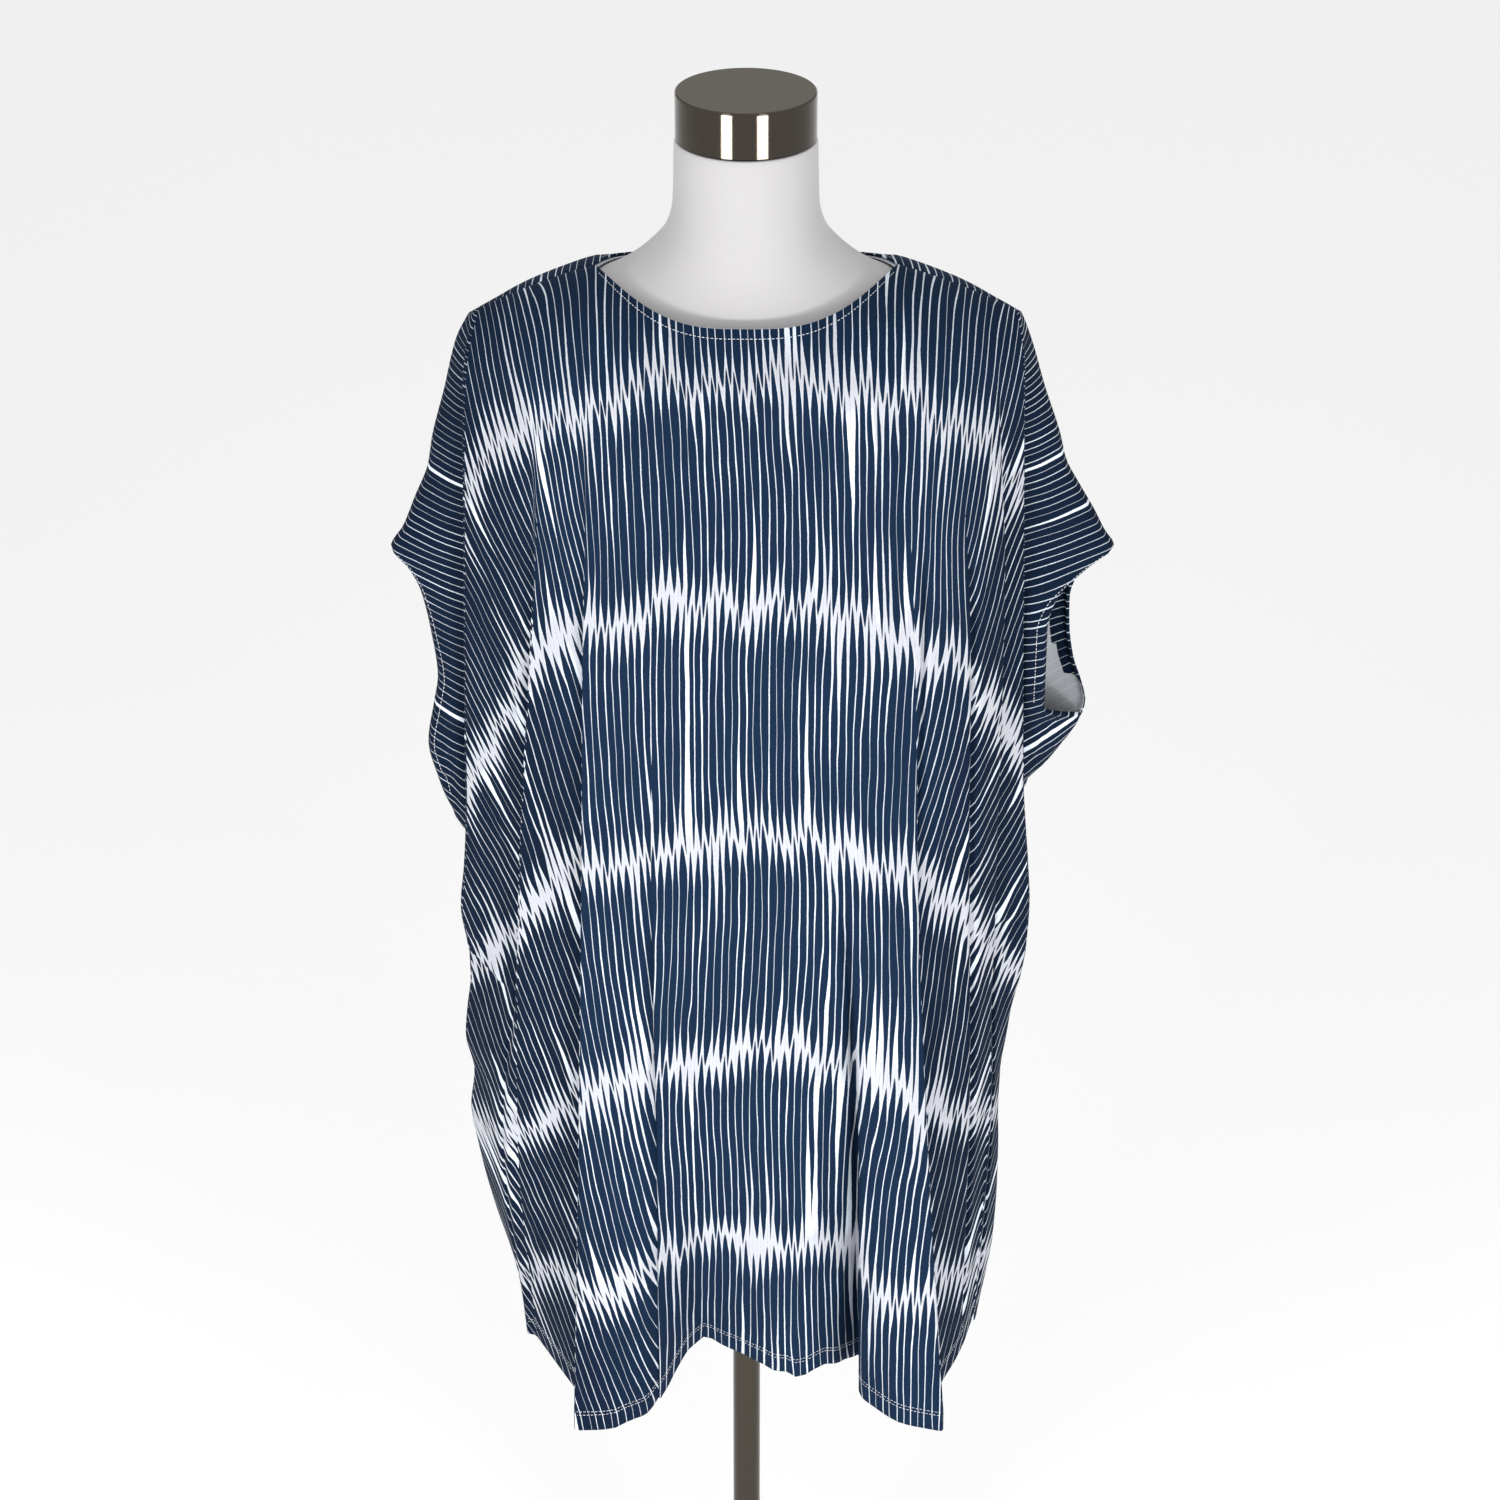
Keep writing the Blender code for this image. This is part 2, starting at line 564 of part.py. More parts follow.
def make_form(look):
    """Neck and torso: a sphere primitive whose circles are moved to the form's cross-sections."""
    shape = bmesh.new()
    bmesh.ops.create_uvsphere(shape, u_segments=FORM_SIDES, v_segments=FORM_HEIGHTS, radius=1)
    places = np.arange(len(FORM_RINGS))
    for vertex in shape.verts:
        from_bottom = 1 - np.arccos(np.clip(vertex.co.z, -1, 1)) / np.pi
        at_pole = abs(vertex.co.z) > 0.9999
        place = (from_bottom * FORM_HEIGHTS - 1) / (FORM_HEIGHTS - 2) * (len(FORM_RINGS) - 1)
        read = {}
        for name in Ring._fields:
            read[name] = float(smooth(places, [getattr(ring, name) for ring in FORM_RINGS], place))
        angle = np.arctan2(vertex.co.y, vertex.co.x)
        side = 0 if at_pole else np.cos(angle)
        depth = 0 if at_pole else np.sin(angle)
        reach = read["front"] if depth < 0 else read["back"]
        height = read["z_front"] if depth < 0 else read["z_back"]
        x = np.sign(side) * abs(side) ** (2 / read["power"]) * read["half_width"]
        y = np.sign(depth) * abs(depth) ** (2 / read["power"]) * reach
        z = read["z_side"] + (height - read["z_side"]) * depth**2
        vertex.co = (x * MM, y * MM, z * MM)
    mesh = bpy.data.meshes.new("form_body")
    shape.to_mesh(mesh)
    shape.free()
    keep(mesh, "form_body", look)


def make_cylinder(name, radius, bottom, top, look, sides=40, bevel=0.0):
    shape = bmesh.new()
    height = top - bottom
    bmesh.ops.create_cone(shape, cap_ends=True, segments=sides, radius1=radius, radius2=radius, depth=height)
    mesh = bpy.data.meshes.new(name)
    shape.to_mesh(mesh)
    shape.free()
    made = keep(mesh, name, look)
    made.location.z = (top + bottom) / 2
    if bevel:
        edge = made.modifiers.new("edge", "BEVEL")
        edge.width = bevel
        edge.segments = 1
        edge.angle_limit = np.radians(60)
    return made


def make_base(look):
    """A turned disc with a boss that carries the pole."""
    profile = (
        (0, BOSS_TOP),
        (BOSS_RADIUS - 2 * MM, BOSS_TOP),
        (BOSS_RADIUS, BOSS_TOP - 2 * MM),
        (BOSS_RADIUS, BASE_RISE),
        (BASE_RADIUS - 25 * MM, BASE_EDGE + 4 * MM),
        (BASE_RADIUS - 4 * MM, BASE_EDGE + MM),
        (BASE_RADIUS, BASE_EDGE - 2 * MM),
        (BASE_RADIUS, MM),
        (BASE_RADIUS - MM, 0),
        (0, 0),
    )
    mesh = bpy.data.meshes.new("stand_base")
    corners = [(x, 0, z) for x, z in profile]
    mesh.from_pydata(corners, [(i, i + 1) for i in range(len(corners) - 1)], [])
    base = keep(mesh, "stand_base", look)
    turned = base.modifiers.new("turned", "SCREW")
    turned.steps = 40
    turned.render_steps = 40
    turned.use_merge_vertices = True
    turned.merge_threshold = 0.0001
    return base


for old in list(bpy.data.objects):
    bpy.data.objects.remove(old, do_unlink=True)

collection = bpy.data.collections.new("jersey_dress_on_form")
bpy.context.scene.collection.children.link(collection)

front_jersey = material("front_jersey", (0.020, 0.062, 0.130), 0.85)
back_jersey = material("back_jersey", (0.018, 0.056, 0.120), 0.85)
binding_jersey = material("binding_jersey", (0.30, 0.34, 0.40), 0.85)
white_jersey = material("white_jersey", (0.78, 0.77, 0.78), 0.8)
cap_metal = material("cap_metal", (0.33, 0.30, 0.25), 0.35, 1.0)
pole_metal = material("pole_metal", (0.33, 0.30, 0.25), 0.35, 1.0)
base_metal = material("base_metal", (0.28, 0.26, 0.22), 0.45, 1.0)

make_sheet("front", FRONT, front_jersey)
make_sheet("back", BACK, back_jersey)
make_binding(binding_jersey)
make_form(white_jersey)
make_cylinder("form_cap", CAP_RADIUS, CAP_BOTTOM, CAP_TOP, cap_metal, sides=40, bevel=CAP_BEVEL)
make_cylinder("stand_pole", POLE_RADIUS, BOSS_TOP + CONTACT_GAP, POLE_TOP, pole_metal, sides=24)
make_base(base_metal)
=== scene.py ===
"""Looks of the jersey dress on its dress form.

Metres, +Z up. The front of the dress faces -Y, and left is -X. Tables are in millimetres unless they say
otherwise. The cloth follows the same tables as the CAD source, with more rows, small creases, stitches and
its print.
"""

from collections import namedtuple

import bmesh
import bpy
import numpy as np
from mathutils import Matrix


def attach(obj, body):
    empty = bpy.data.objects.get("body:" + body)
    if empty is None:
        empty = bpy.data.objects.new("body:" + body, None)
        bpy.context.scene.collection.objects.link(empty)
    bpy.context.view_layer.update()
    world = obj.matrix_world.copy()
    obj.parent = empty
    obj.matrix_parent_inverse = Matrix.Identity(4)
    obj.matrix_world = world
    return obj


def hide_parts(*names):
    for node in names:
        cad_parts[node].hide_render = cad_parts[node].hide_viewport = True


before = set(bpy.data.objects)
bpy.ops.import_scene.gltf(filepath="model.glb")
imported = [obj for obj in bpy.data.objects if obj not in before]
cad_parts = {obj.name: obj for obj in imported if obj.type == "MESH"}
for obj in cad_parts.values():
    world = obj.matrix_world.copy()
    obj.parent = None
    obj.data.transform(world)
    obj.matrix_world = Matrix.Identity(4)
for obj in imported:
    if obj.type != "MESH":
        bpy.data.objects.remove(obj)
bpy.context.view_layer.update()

MM = 0.001
FRONT = -1
BACK = 1
LEFT = -1
RIGHT = 1

# Camera
CAMERA_PLACE = (0.003, -2.9, 2.58)
CAMERA_PITCH = 28.0
CAMERA_LENS = 96.4
CAMERA_FILM = 36

# Brightness of the sky at places given by the sine of their height above the horizon
SKY = ((0, 0.90), (0.18, 0.90), (0.26, 0.32), (0.9, 1.16))

# Soft boxes, in metres and watts: a tall one and a low strip on each side. The sides are turned by so many
# degrees from the front
Lamp = namedtuple("Lamp", "name z aim_z width height power")
LAMPS = (
    Lamp("soft_box", 1.85, 1.2, 0.5, 1.8, 8),
    Lamp("low_strip", 0.78, 0.78, 0.76, 0.38, 27),
)
LAMP_TURNS = {"left": -31, "right": 26.5}
LAMP_DISTANCE = 2.5

# Floor
FLOOR_SIZE = 60
FLOOR_COLOUR = (0.98, 0.98, 0.98, 1)
FLOOR_ROUGHNESS = 0.9
FLOOR_SHINE = 0.1

# One layer of cloth, and half the gap at a seam
WALL = 1.2 * MM
HALF_SEAM = 0.15 * MM

# Neckline, shoulder line and the rounding of the cloth over the shoulders
NECK_HALF = 116.5 * MM
NECK_SIDE_Z = 1461 * MM
NECK_RISE = {FRONT: -22.5 * MM, BACK: -26 * MM}
NECK_POWER = 2.85
SHOULDER_DROP = 0.30
SHOULDER_ROUND = 1.1
RIDGE_RISE = {FRONT: 8 * MM, BACK: 8 * MM}
CROWN_MIDDLE = {FRONT: 90 * MM, BACK: 100 * MM}
CROWN_TIP = {FRONT: 35 * MM, BACK: 46 * MM}
CROWN_POWER = 1.5
SHOULDER_TIP = 214 * MM

# Turned hems, where the wall is double
HEM_DEPTH = 22 * MM
CUFF_DEPTH = 14 * MM
CUFF_END = 20 * MM

# Side seams lie this far inside the outermost fold, and start below the sleeves
SEAM_INSET = 10 * MM
SEAM_BLEND = 28 * MM

# How far a sleeve stands open, where it is at least this wide, and how its layers turn at the overarm seam
WIDE_SLEEVE = 45 * MM
SLEEVE_HALF_DEPTH = 9 * MM
SLEEVE_BULGE = 5 * MM
SLEEVE_EDGE_TURN = 2.5 * MM
SLEEVE_EDGE_SHARE = 0.12
SLEEVE_FLAT_SHARE = 0.2
# The sleeve's bends from the seam in: how much of each side is rounded off, and how far the hem lies above
# the rim's there
SLEEVE_TURNS = (0.0, 0.3, 0.4, 0.25)
SLEEVE_HEM_RISES = (6, 5, 4, 2)

# Heights at which the folds' tables give their values
LEVELS = np.array((1420, 1200, 950, 700, 480)) * MM

# Rows of the sheets: close together where the cloth turns over the shoulder, then even down to the hem
TOP_Z = 1440 * MM
BOTTOM_Z = 480 * MM
CROWN_ROWS = 16
CROWN_ROWS_Z = 1412 * MM
ROW_STEP = 4.7 * MM
COLUMN_STEP = 6.5 * MM
TURN_COLUMNS = 5
TOP_BLEND_Z = 1300 * MM
HEM_BLEND_Z = 620 * MM
# Rounds in which a sheet's upper edge settles on the shoulder line
EDGE_ROUNDS = 12

# Half widths of the body at its outermost fold
Body = namedtuple("Body", "z left right")
BODY = (
    Body(1430, 206, 206),
    Body(1420, 210.5, 210.5),
    Body(1400, 216, 214),
    Body(1360, 220, 216),
    Body(1280, 222.5, 218.5),
    Body(1200, 225, 221),
    Body(1100, 228, 224),
    Body(1020, 230, 227),
    Body(977, 231.5, 230.5),
    Body(944, 234, 233.5),
    Body(903, 238, 236),
    Body(861, 233, 234.5),
    Body(834, 232.5, 231),
    Body(800, 236.5, 224),
    Body(775, 238.5, 221),
    Body(738, 232.5, 216.5),
    Body(700, 236.5, 216),
    Body(660, 232, 217.5),
    Body(615, 224.5, 218),
    Body(560, 211, 216.5),
    Body(540, 201, 215),
    Body(512, 197, 211),
    Body(480, 197, 206),
)

# Overarm seam and cuff: distance from the middle and depth of the front's edge and of the back's
Edge = namedtuple("Edge", "z front_x front_y back_x back_y")
SLEEVE_EDGES = {
    LEFT: (
        Edge(1430, 209, 0, 209, 0),
        Edge(1420, 215, 0, 215, 0),
        Edge(1400, 225, 0, 225, 0),
        Edge(1357, 236, 0, 236, 0),
        Edge(1318, 246.5, 0, 246.5, 0),
        Edge(1293, 251, 0, 251, 0),
        Edge(1266, 262, 0, 262, 0),
        Edge(1241, 272, 0, 272, 0),
        Edge(1222, 283, 0, 282, 0),
        Edge(1208, 270, -6, 266, 6),
        Edge(1190, 260, -12, 255, 12),
        Edge(1160, 253, -17, 246, 18),
        Edge(1118, 248, -20, 241, 22),
        Edge(1093, 252, -20, 243, 22),
        Edge(1055, 258, -18, 248, 20),
        Edge(1022, 252.5, -12, 245, 14),
        Edge(999, 247.5, -6, 242, 7),
        Edge(980, 241, 0, 241, 0),
    ),
    RIGHT: (
        Edge(1430, 208, 0, 208, 0),
        Edge(1419, 214, 0, 214, 0),
        Edge(1393, 223.5, 0, 223.5, 0),
        Edge(1362, 232.5, 0, 232.5, 0),
        Edge(1320, 246.5, 0, 246.5, 0),
        Edge(1298, 252, 0, 252, 0),
        Edge(1277, 263, 0, 263, 0),
        Edge(1256, 275, 0, 275, 0),
        Edge(1237, 284.5, 0, 284.5, 0),
        Edge(1223, 293, 0, 292, 0),
        Edge(1212, 276, -8, 285, 8),
        Edge(1200, 258, -19, 275, 14),
        Edge(1187, 246, -28, 266.5, 20),
        Edge(1165, 239.5, -35, 261.5, 25),
        Edge(1138, 239.5, -36, 262.5, 27),
        Edge(1111, 239.5, -34, 266.5, 25),
        Edge(1092, 240, -28, 273.5, 15),
        Edge(1082, 256, -16, 276, 6),
        Edge(1072, 272, 0, 273, 0),
        Edge(1058, 266, 0, 266, 0),
        Edge(1043, 256.5, 0, 256.5, 0),
        Edge(1028, 246, 0, 246, 0),
        Edge(1012, 231, 0, 231, 0),
    ),
}
CUFF_TOP = {LEFT: 1222 * MM, RIGHT: 1223 * MM}
CUFF_LOW = {LEFT: 980 * MM, RIGHT: 1072 * MM}
SEAM_TOP = {LEFT: 980 * MM, RIGHT: 1012 * MM}
SEAM_Y = np.array((0, 0, -4, 10, 34)) * MM

# The outermost fold of each side, at the body's half width
Rim = namedtuple("Rim", "inset y lap step hem turn")
# Folds whose cloth laps behind an edge, and open bends
Fold = namedtuple("Fold", "faces x y lap step hem turn")
Bend = namedtuple("Bend", "x y hem turn")

FRONT_RIMS = {
    LEFT: Rim(0, (-30, -50, -28, -10, 15), (-1.5, 12, 7, 7, 7), (3, 16, 12, 10, 10), 489, 0.2),
    RIGHT: Rim(0, (-30, -38, -24, -9, 13), (-1.5, 8, 7, 7, 7), (3, 12, 12, 10, 10), 486, 0.2),
}
FRONT_FOLDS = (
    Fold(LEFT, (-153, -168, -186, -194, -184), (-82, -92, -84, -76, -40), (-12, 3, 10, -10, -8),
         (0, 6, 11, 2, 3), 480, 0.15),
    Fold(LEFT, (-116.5, -127, -133.5, -140.5, -147), (-94, -118, -124, -134, -155), (-10, 5, 9, 9, 3),
         (0, 8, 12, 22, 50), 465, 0.12),
    Bend((-88, -98, -104, -108, -112), (-100, -129, -134, -143, -154), 465, 0.45),
    Bend((-60, -70, -74, -71.5, -72), (-102, -134, -139, -140, -128), 478, 0.3),
    Bend((-32, -34, -36, -37, -38), (-103, -135, -135, -122, -54), 494, 0.35),
    Bend((3, 3, 2, 3, 5), (-103, -135, -134, -125, -90), 492, 0.4),
    Bend((40, 44, 46, 48, 50), (-103, -135, -135, -130, -113), 490, 0.35),
    Fold(LEFT, (75, 84, 89, 92.5, 95.5), (-102, -133, -138, -135, -121), (-14, -14, -10, 3, 4),
         (0, 0, 0, 24, 56), 476, 0.2),
    Bend((97, 106, 112, 120, 128), (-99, -128, -135, -146, -149), 468, 0.4),
    Fold(RIGHT, (116.5, 131, 139, 153, 168), (-94, -116, -122, -136, -157), (-10, -6, 7, 9, 4),
         (0, 2, 10, 24, 58), 465, 0.12),
    Bend((150, 172, 180, 188, 187), (-84, -92, -86, -70, -58), 477, 0.4),
    Fold(RIGHT, (190, 204.5, 205.5, 203, 197), (-50, -62, -54, -42, -22), (-5, 8, 8, -5, -4),
         (0, 8, 8, 2, 3), 482, 0.2),
)

BACK_RIMS = {
    LEFT: Rim(6, (30, 44, 42, 50, 66), (-1.5, 9, -4, -4, -4), (3, 14, 8, 8, 8), 492, 0.3),
    RIGHT: Rim(6, (30, 46, 40, 52, 64), (-1.5, 9, -4, -4, -4), (3, 14, 8, 8, 8), 490, 0.3),
}
BACK_FOLDS = (
    Bend((-175, -186, -190, -186, -172), (72, 88, 84, 94, 104), 492, 0.4),
    Fold(LEFT, (-116.5, -126, -132, -136, -140), (92, 116, 118, 132, 146), (-10, -8, -4, 6, 6),
         (0, 2, 6, 16, 26), 487, 0.2),
    Bend((-84, -90, -94, -96, -98), (100, 126, 126, 140, 152), 486, 0.45),
    Bend((-38, -42, -46, -48, -50), (103, 128, 122, 126, 124), 490, 0.4),
    Bend((2, 2, 2, 2, 2), (104, 126, 116, 114, 106), 494, 0.45),
    Bend((44, 48, 50, 54, 58), (103, 128, 121, 126, 130), 491, 0.4),
    Bend((86, 92, 96, 100, 104), (99, 126, 126, 142, 154), 487, 0.45),
    Fold(RIGHT, (116.5, 128, 136, 142, 148), (92, 116, 118, 130, 140), (-10, -8, -4, 6, 6),
         (0, 2, 6, 16, 24), 488, 0.2),
    Bend((172, 182, 186, 184, 176), (74, 88, 84, 92, 100), 491, 0.4),
)

# Parts of a sheet that hang between its folds, by the bends they lie between. The cloth of each has swung
# round its shoulder by so many degrees at each of LEVELS, and a sleeve's has no bands
Facet = namedtuple("Facet", "side start end sleeve swing")
PRINT_FACETS = {
    FRONT: (
        Facet(LEFT, 0, 4, True, (82, 73, 55, 52, 50)),
        Facet(LEFT, 4, 6, False, (14, 19, 23, 25, 26)),
        Facet(LEFT, 6, 8, False, (5, 8, 11, 14, 16)),
        Facet(LEFT, 8, 9.93, False, (0, 0, 1.5, 4.5, 6.5)),
        Facet(RIGHT, 9.93, 17, False, (0, 0, 0, 0, 0)),
        Facet(RIGHT, 17, 19.1, False, (2, 4, 5.5, 6.6, 7.7)),
        Facet(RIGHT, 19.1, 20.5, False, (7, 13, 17, 19, 20)),
        Facet(RIGHT, 20.5, 22, False, (12, 17, 20, 22, 22)),
        Facet(RIGHT, 22, 26, True, (82, 73, 55, 52, 50)),
    ),
    BACK: (
        Facet(LEFT, 0, 4, True, (82, 73, 55, 52, 50)),
        Facet(LEFT, 4, 7, False, (1, 10, 17, 20, 20)),
        Facet(RIGHT, 7, 13, False, (0, 0, 0, 0, 0)),
        Facet(RIGHT, 13, 16, False, (1, 10, 17, 20, 20)),
        Facet(RIGHT, 16, 20, True, (82, 73, 55, 52, 50)),
    ),
}
SHOULDER_PIVOT_Z = 1425 * MM
# The swing changes smoothly from facet to facet above these heights, and at the folds' edges below them
FOLDS_START_Z = 1170 * MM
FOLDS_BLEND = 130 * MM
# How much depth counts in the distance between stripes
DEPTH_SHARE = 0.2

# White bands: each one's height in the middle, and how far it has fallen at each of BAND_PLACES to the side
Band = namedtuple("Band", "z falls")
BAND_PLACES = np.array((0, 65, 130, 163, 195, 226)) * MM
BANDS = (
    Band(1620, (0, 4, 18, 30, 50, 80)),
    Band(1412, (0, 6, 29, 49, 85, 139)),
    Band(1237, (0, 8, 40, 66, 130, 208)),
    Band(1031, (0, 8, 40, 73, 134, 190)),
    Band(835, (0, 14, 46, 88, 117, 140)),
    Band(643, (0, 16, 56, 60, 90, 105)),
    Band(440, (0, 16, 50, 60, 90, 105)),
    Band(240, (0, 16, 50, 60, 90, 105)),
)
# The even spacing that the bands have on the flat cloth, and where a sleeve lies between two of them
BAND_STEP = 200 * MM
SLEEVE_LIFT = 75 * MM
SLEEVE_LOW = 1.3
SLEEVE_HIGH = 1.7

# Small creases: where each starts and ends, how wide and how deep it is, and the zigzag along it. Each fades
# in and out over these shares of its length, and runs on past its end
CREASE_FADE_IN = 0.25
CREASE_FADE_OUT = 0.20
CREASE_RUN_ON = 0.15
Crease = namedtuple("Crease", "face x_top z_top x_low z_low width depth sway wave")
CREASES = (
    Crease(FRONT, -162, 1310, -170, 800, 9, 2.0, 2, 160),
    Crease(FRONT, -205, 842, -198, 640, 5, 2.6, 5, 52),
    Crease(FRONT, -186, 870, -180, 600, 5, -2.2, 5, 46),
    Crease(FRONT, -66, 900, -64, 470, 5, 3.6, 1.5, 150),
    Crease(FRONT, 83, 960, 88, 470, 7, 4.5, 1.5, 170),
    Crease(FRONT, -246, 1075, -236, 985, 4, 2.2, 1.5, 20),
    Crease(FRONT, 268, 1068, 236, 1000, 4, 2.2, 1.5, 22),
    Crease(FRONT, 256, 1085, 230, 1030, 4, 2.0, 1.2, 18),
    Crease(FRONT, -33, 1000, -36, 500, 7, 3.0, 1.5, 140),
    Crease(FRONT, -8, 990, -6, 480, 6, 2.2, 2, 90),
    Crease(FRONT, 34, 760, 40, 470, 8, 3.0, 2, 120),
    Crease(FRONT, 118, 900, 124, 560, 7, 2.4, 2, 110),
    Crease(FRONT, 168, 1180, 176, 560, 7, 2.6, 4, 60),
    Crease(FRONT, 158, 1060, 160, 620, 5, -1.6, 4, 48),
    Crease(FRONT, 172, 1320, 174, 1000, 7, 2.6, 2, 130),
    Crease(FRONT, -86, 820, -94, 500, 7, -2.2, 2, 100),
    Crease(FRONT, 66, 1020, 70, 640, 8, 1.8, 2, 120),
    Crease(BACK, -60, 1000, -66, 480, 9, 3.0, 2, 130),
    Crease(BACK, 24, 900, 28, 470, 9, 3.0, 2, 120),
    Crease(BACK, 70, 1060, 78, 520, 9, 2.6, 2, 150),
    Crease(BACK, -160, 1150, -158, 560, 8, 2.6, 3, 90),
    Crease(BACK, 156, 1150, 160, 560, 8, 2.6, 3, 90),
)

# Sharp furrows beside the folds: each one's place on a sheet, counted in bends, its depth, and how far it
# reaches to the left and to the right there
FURROW_END = 120 * MM
FURROW_LOW_SHARE = 0.6
FURROW_POWER = 1.5
Furrow = namedtuple("Furrow", "face place z_top z_low depth left right")
FURROWS = (
    Furrow(FRONT, 5.0, 1240, 560, 6, 0.16, 0.30),
    Furrow(FRONT, 7.0, 1280, 470, 7, 0.20, 0.30),
    Furrow(FRONT, 9.93, 1010, 470, 6, 0.24, 0.04),
    Furrow(FRONT, 14.0, 1020, 470, 10, 0.20, 0.50),
    Furrow(FRONT, 18.0, 1330, 470, 7, 0.40, 0.20),
    Furrow(FRONT, 19.10, 1310, 520, 8, 0.04, 0.24),
    Furrow(FRONT, 21.0, 1300, 520, 7, 0.30, 0.24),
    Furrow(BACK, 7.9, 980, 470, 5, 0.04, 0.20),
    Furrow(BACK, 11.1, 1020, 470, 5, 0.20, 0.04),
)

# Short pleats: the cloth hangs over a line from one place to another and is sunk below it
Pleat = namedtuple("Pleat", "face x_left z_left x_right z_right depth")
PLEATS = (
    Pleat(FRONT, -240, 866, -192, 846, 7.0),
    Pleat(FRONT, -236, 880, -206, 878, 2.5),
    Pleat(FRONT, -256, 1052, -230, 1046, 3.0),
    Pleat(FRONT, -256, 1026, -232, 1030, 3.0),
    Pleat(FRONT, 226, 1040, 266, 1052, 3.0),
    Pleat(FRONT, 222, 1020, 252, 1026, 3.0),
    Pleat(FRONT, 196, 900, 236, 894, 3.0),
    Pleat(BACK, -236, 900, -196, 890, 3.0),
    Pleat(BACK, 196, 890, 236, 900, 3.0),
)
# Over what length a pleat fades at both ends and below, and the soft lip that stands above its line
PLEAT_END = 12 * MM
PLEAT_REACH = 45 * MM
PLEAT_SOFT = 4 * MM
PLEAT_LIP_REACH = 18 * MM
PLEAT_LIP = 0.4

# Steps of the hem, beyond its height at the folds: place along X, rise and half width
HEM_STEPS = {
    FRONT: ((-86, -5, 9), (-52, 9, 10), (-34, 5, 4), (24, -4, 8), (44, -7, 7), (66, 7, 10)),
    BACK: ((-70, -5, 10), (20, 5, 12), (76, -5, 10)),
}

# Cross-sections of the dress form, from its underside to the top of the neck
Ring = namedtuple("Ring", "half_width front back z_side z_front z_back power")
FORM_RINGS = (
    Ring(60, 40, 45, 712, 712, 712, 2.0),
    Ring(138, 86, 84, 714, 714, 714, 2.2),
    Ring(152, 96, 94, 728, 728, 728, 2.3),
    Ring(170, 102, 102, 800, 800, 800, 2.3),
    Ring(173, 98, 101, 880, 880, 880, 2.3),
    Ring(152, 90, 86, 980, 980, 980, 2.2),
    Ring(128, 86, 78, 1065, 1065, 1065, 2.1),
    Ring(136, 98, 82, 1145, 1145, 1145, 2.2),
    Ring(152, 120, 94, 1225, 1225, 1225, 2.5),
    Ring(160, 121, 102, 1275, 1275, 1275, 2.5),
    Ring(176, 110, 104, 1325, 1325, 1325, 2.4),
    Ring(196, 101, 100, 1368, 1368, 1368, 2.2),
    Ring(204, 92, 92, 1402, 1400, 1392, 2.0),
    Ring(195, 85, 76, 1428.5, 1414, 1406, 1.9),
    Ring(169, 78, 75, 1440.5, 1426, 1423, 1.9),
    Ring(126, 69, 70, 1451.2, 1437, 1435, 2.0),
    Ring(101, 64, 62, 1459.8, 1451, 1448, 2.0),
    Ring(76, 59, 58, 1476, 1470, 1476, 2.0),
    Ring(61, 57, 57, 1494, 1490, 1494, 2.0),
    Ring(56, 56, 56, 1514, 1514, 1514, 2.0),
    Ring(54.6, 54.6, 54.6, 1561, 1561, 1561, 2.0),
    Ring(53, 53, 53, 1562.5, 1562.5, 1562.5, 2.0),
    Ring(25, 25, 25, 1562.5, 1562.5, 1562.5, 2.0),
)
FORM_SIDES = 96
FORM_HEIGHTS = 96

# Radii and heights of the turned metal parts, from the middle of the underside to the middle of the top
CAP_PROFILE = (
    (0, 1563), (53, 1563), (54, 1564), (54, 1565), (54, 1597.8), (54, 1598.4), (53.7, 1599.4), (52.9, 1600),
    (51.5, 1600), (0, 1600),
)
CAP_TOP_Z = 1599.9 * MM
POLE_PROFILE = ((0, 40.3), (12, 40.3), (12, 711.5), (0, 711.5))
BASE_PROFILE = (
    (0, 0), (144, 0), (145, 1), (145, 4), (144, 5.8), (141, 7), (120, 10), (60, 12.2), (24, 13), (21.5, 13.6),
    (21, 15), (21, 38), (20.4, 39.4), (19, 40), (0, 40),
)
SHARP_ANGLE = 35

# Neck binding: how far it shows inside the neckline, how deep it is and how thick, how far it lies below the
# cloth's face, and where its rows of points lie down its depth
BINDING_SHOWS = 1.2 * MM
BINDING_DEPTH = 10 * MM
BINDING_WALL = 1.0 * MM
BINDING_BELOW = 2.5 * MM
BINDING_POINTS = 240
BINDING_ROWS = (0.2, 0.6, 1)
# Over the shoulder seam, the height of the cloth changes from the front's to the back's within this reach.
# Its curve is read up to this share of the depth, and without the outer bends, which are the sleeves'
YOKE_REACH = 6 * MM
YOKE_LIMIT = 0.98
YOKE_OUTER_BENDS = 3

# Stitches: length along the line, gap, half width, and the corners and faces of one stitch, in shares of its
# length and in half widths across and up; then where the lines run
STITCH = 2.6 * MM
STITCH_GAP = 0.7 * MM
STITCH_HALF_WIDTH = 0.27 * MM
STITCH_CORNERS = (
    (0, 0, 0), (0.2, -1, 0.3), (0.2, 0, 1), (0.2, 1, 0.3),
    (0.8, -1, 0.3), (0.8, 0, 1), (0.8, 1, 0.3), (1, 0, 0),
)
STITCH_FACES = (
    (0, 2, 1), (0, 3, 2), (0, 1, 3), (1, 2, 5, 4), (2, 3, 6, 5), (3, 1, 4, 6),
    (4, 5, 7), (5, 6, 7), (6, 4, 7),
)
NECK_LINE = 8 * MM
HEM_LINES = (16 * MM, 19.2 * MM)
CUFF_LINE = 10.5 * MM
LINE_END = 2 * MM


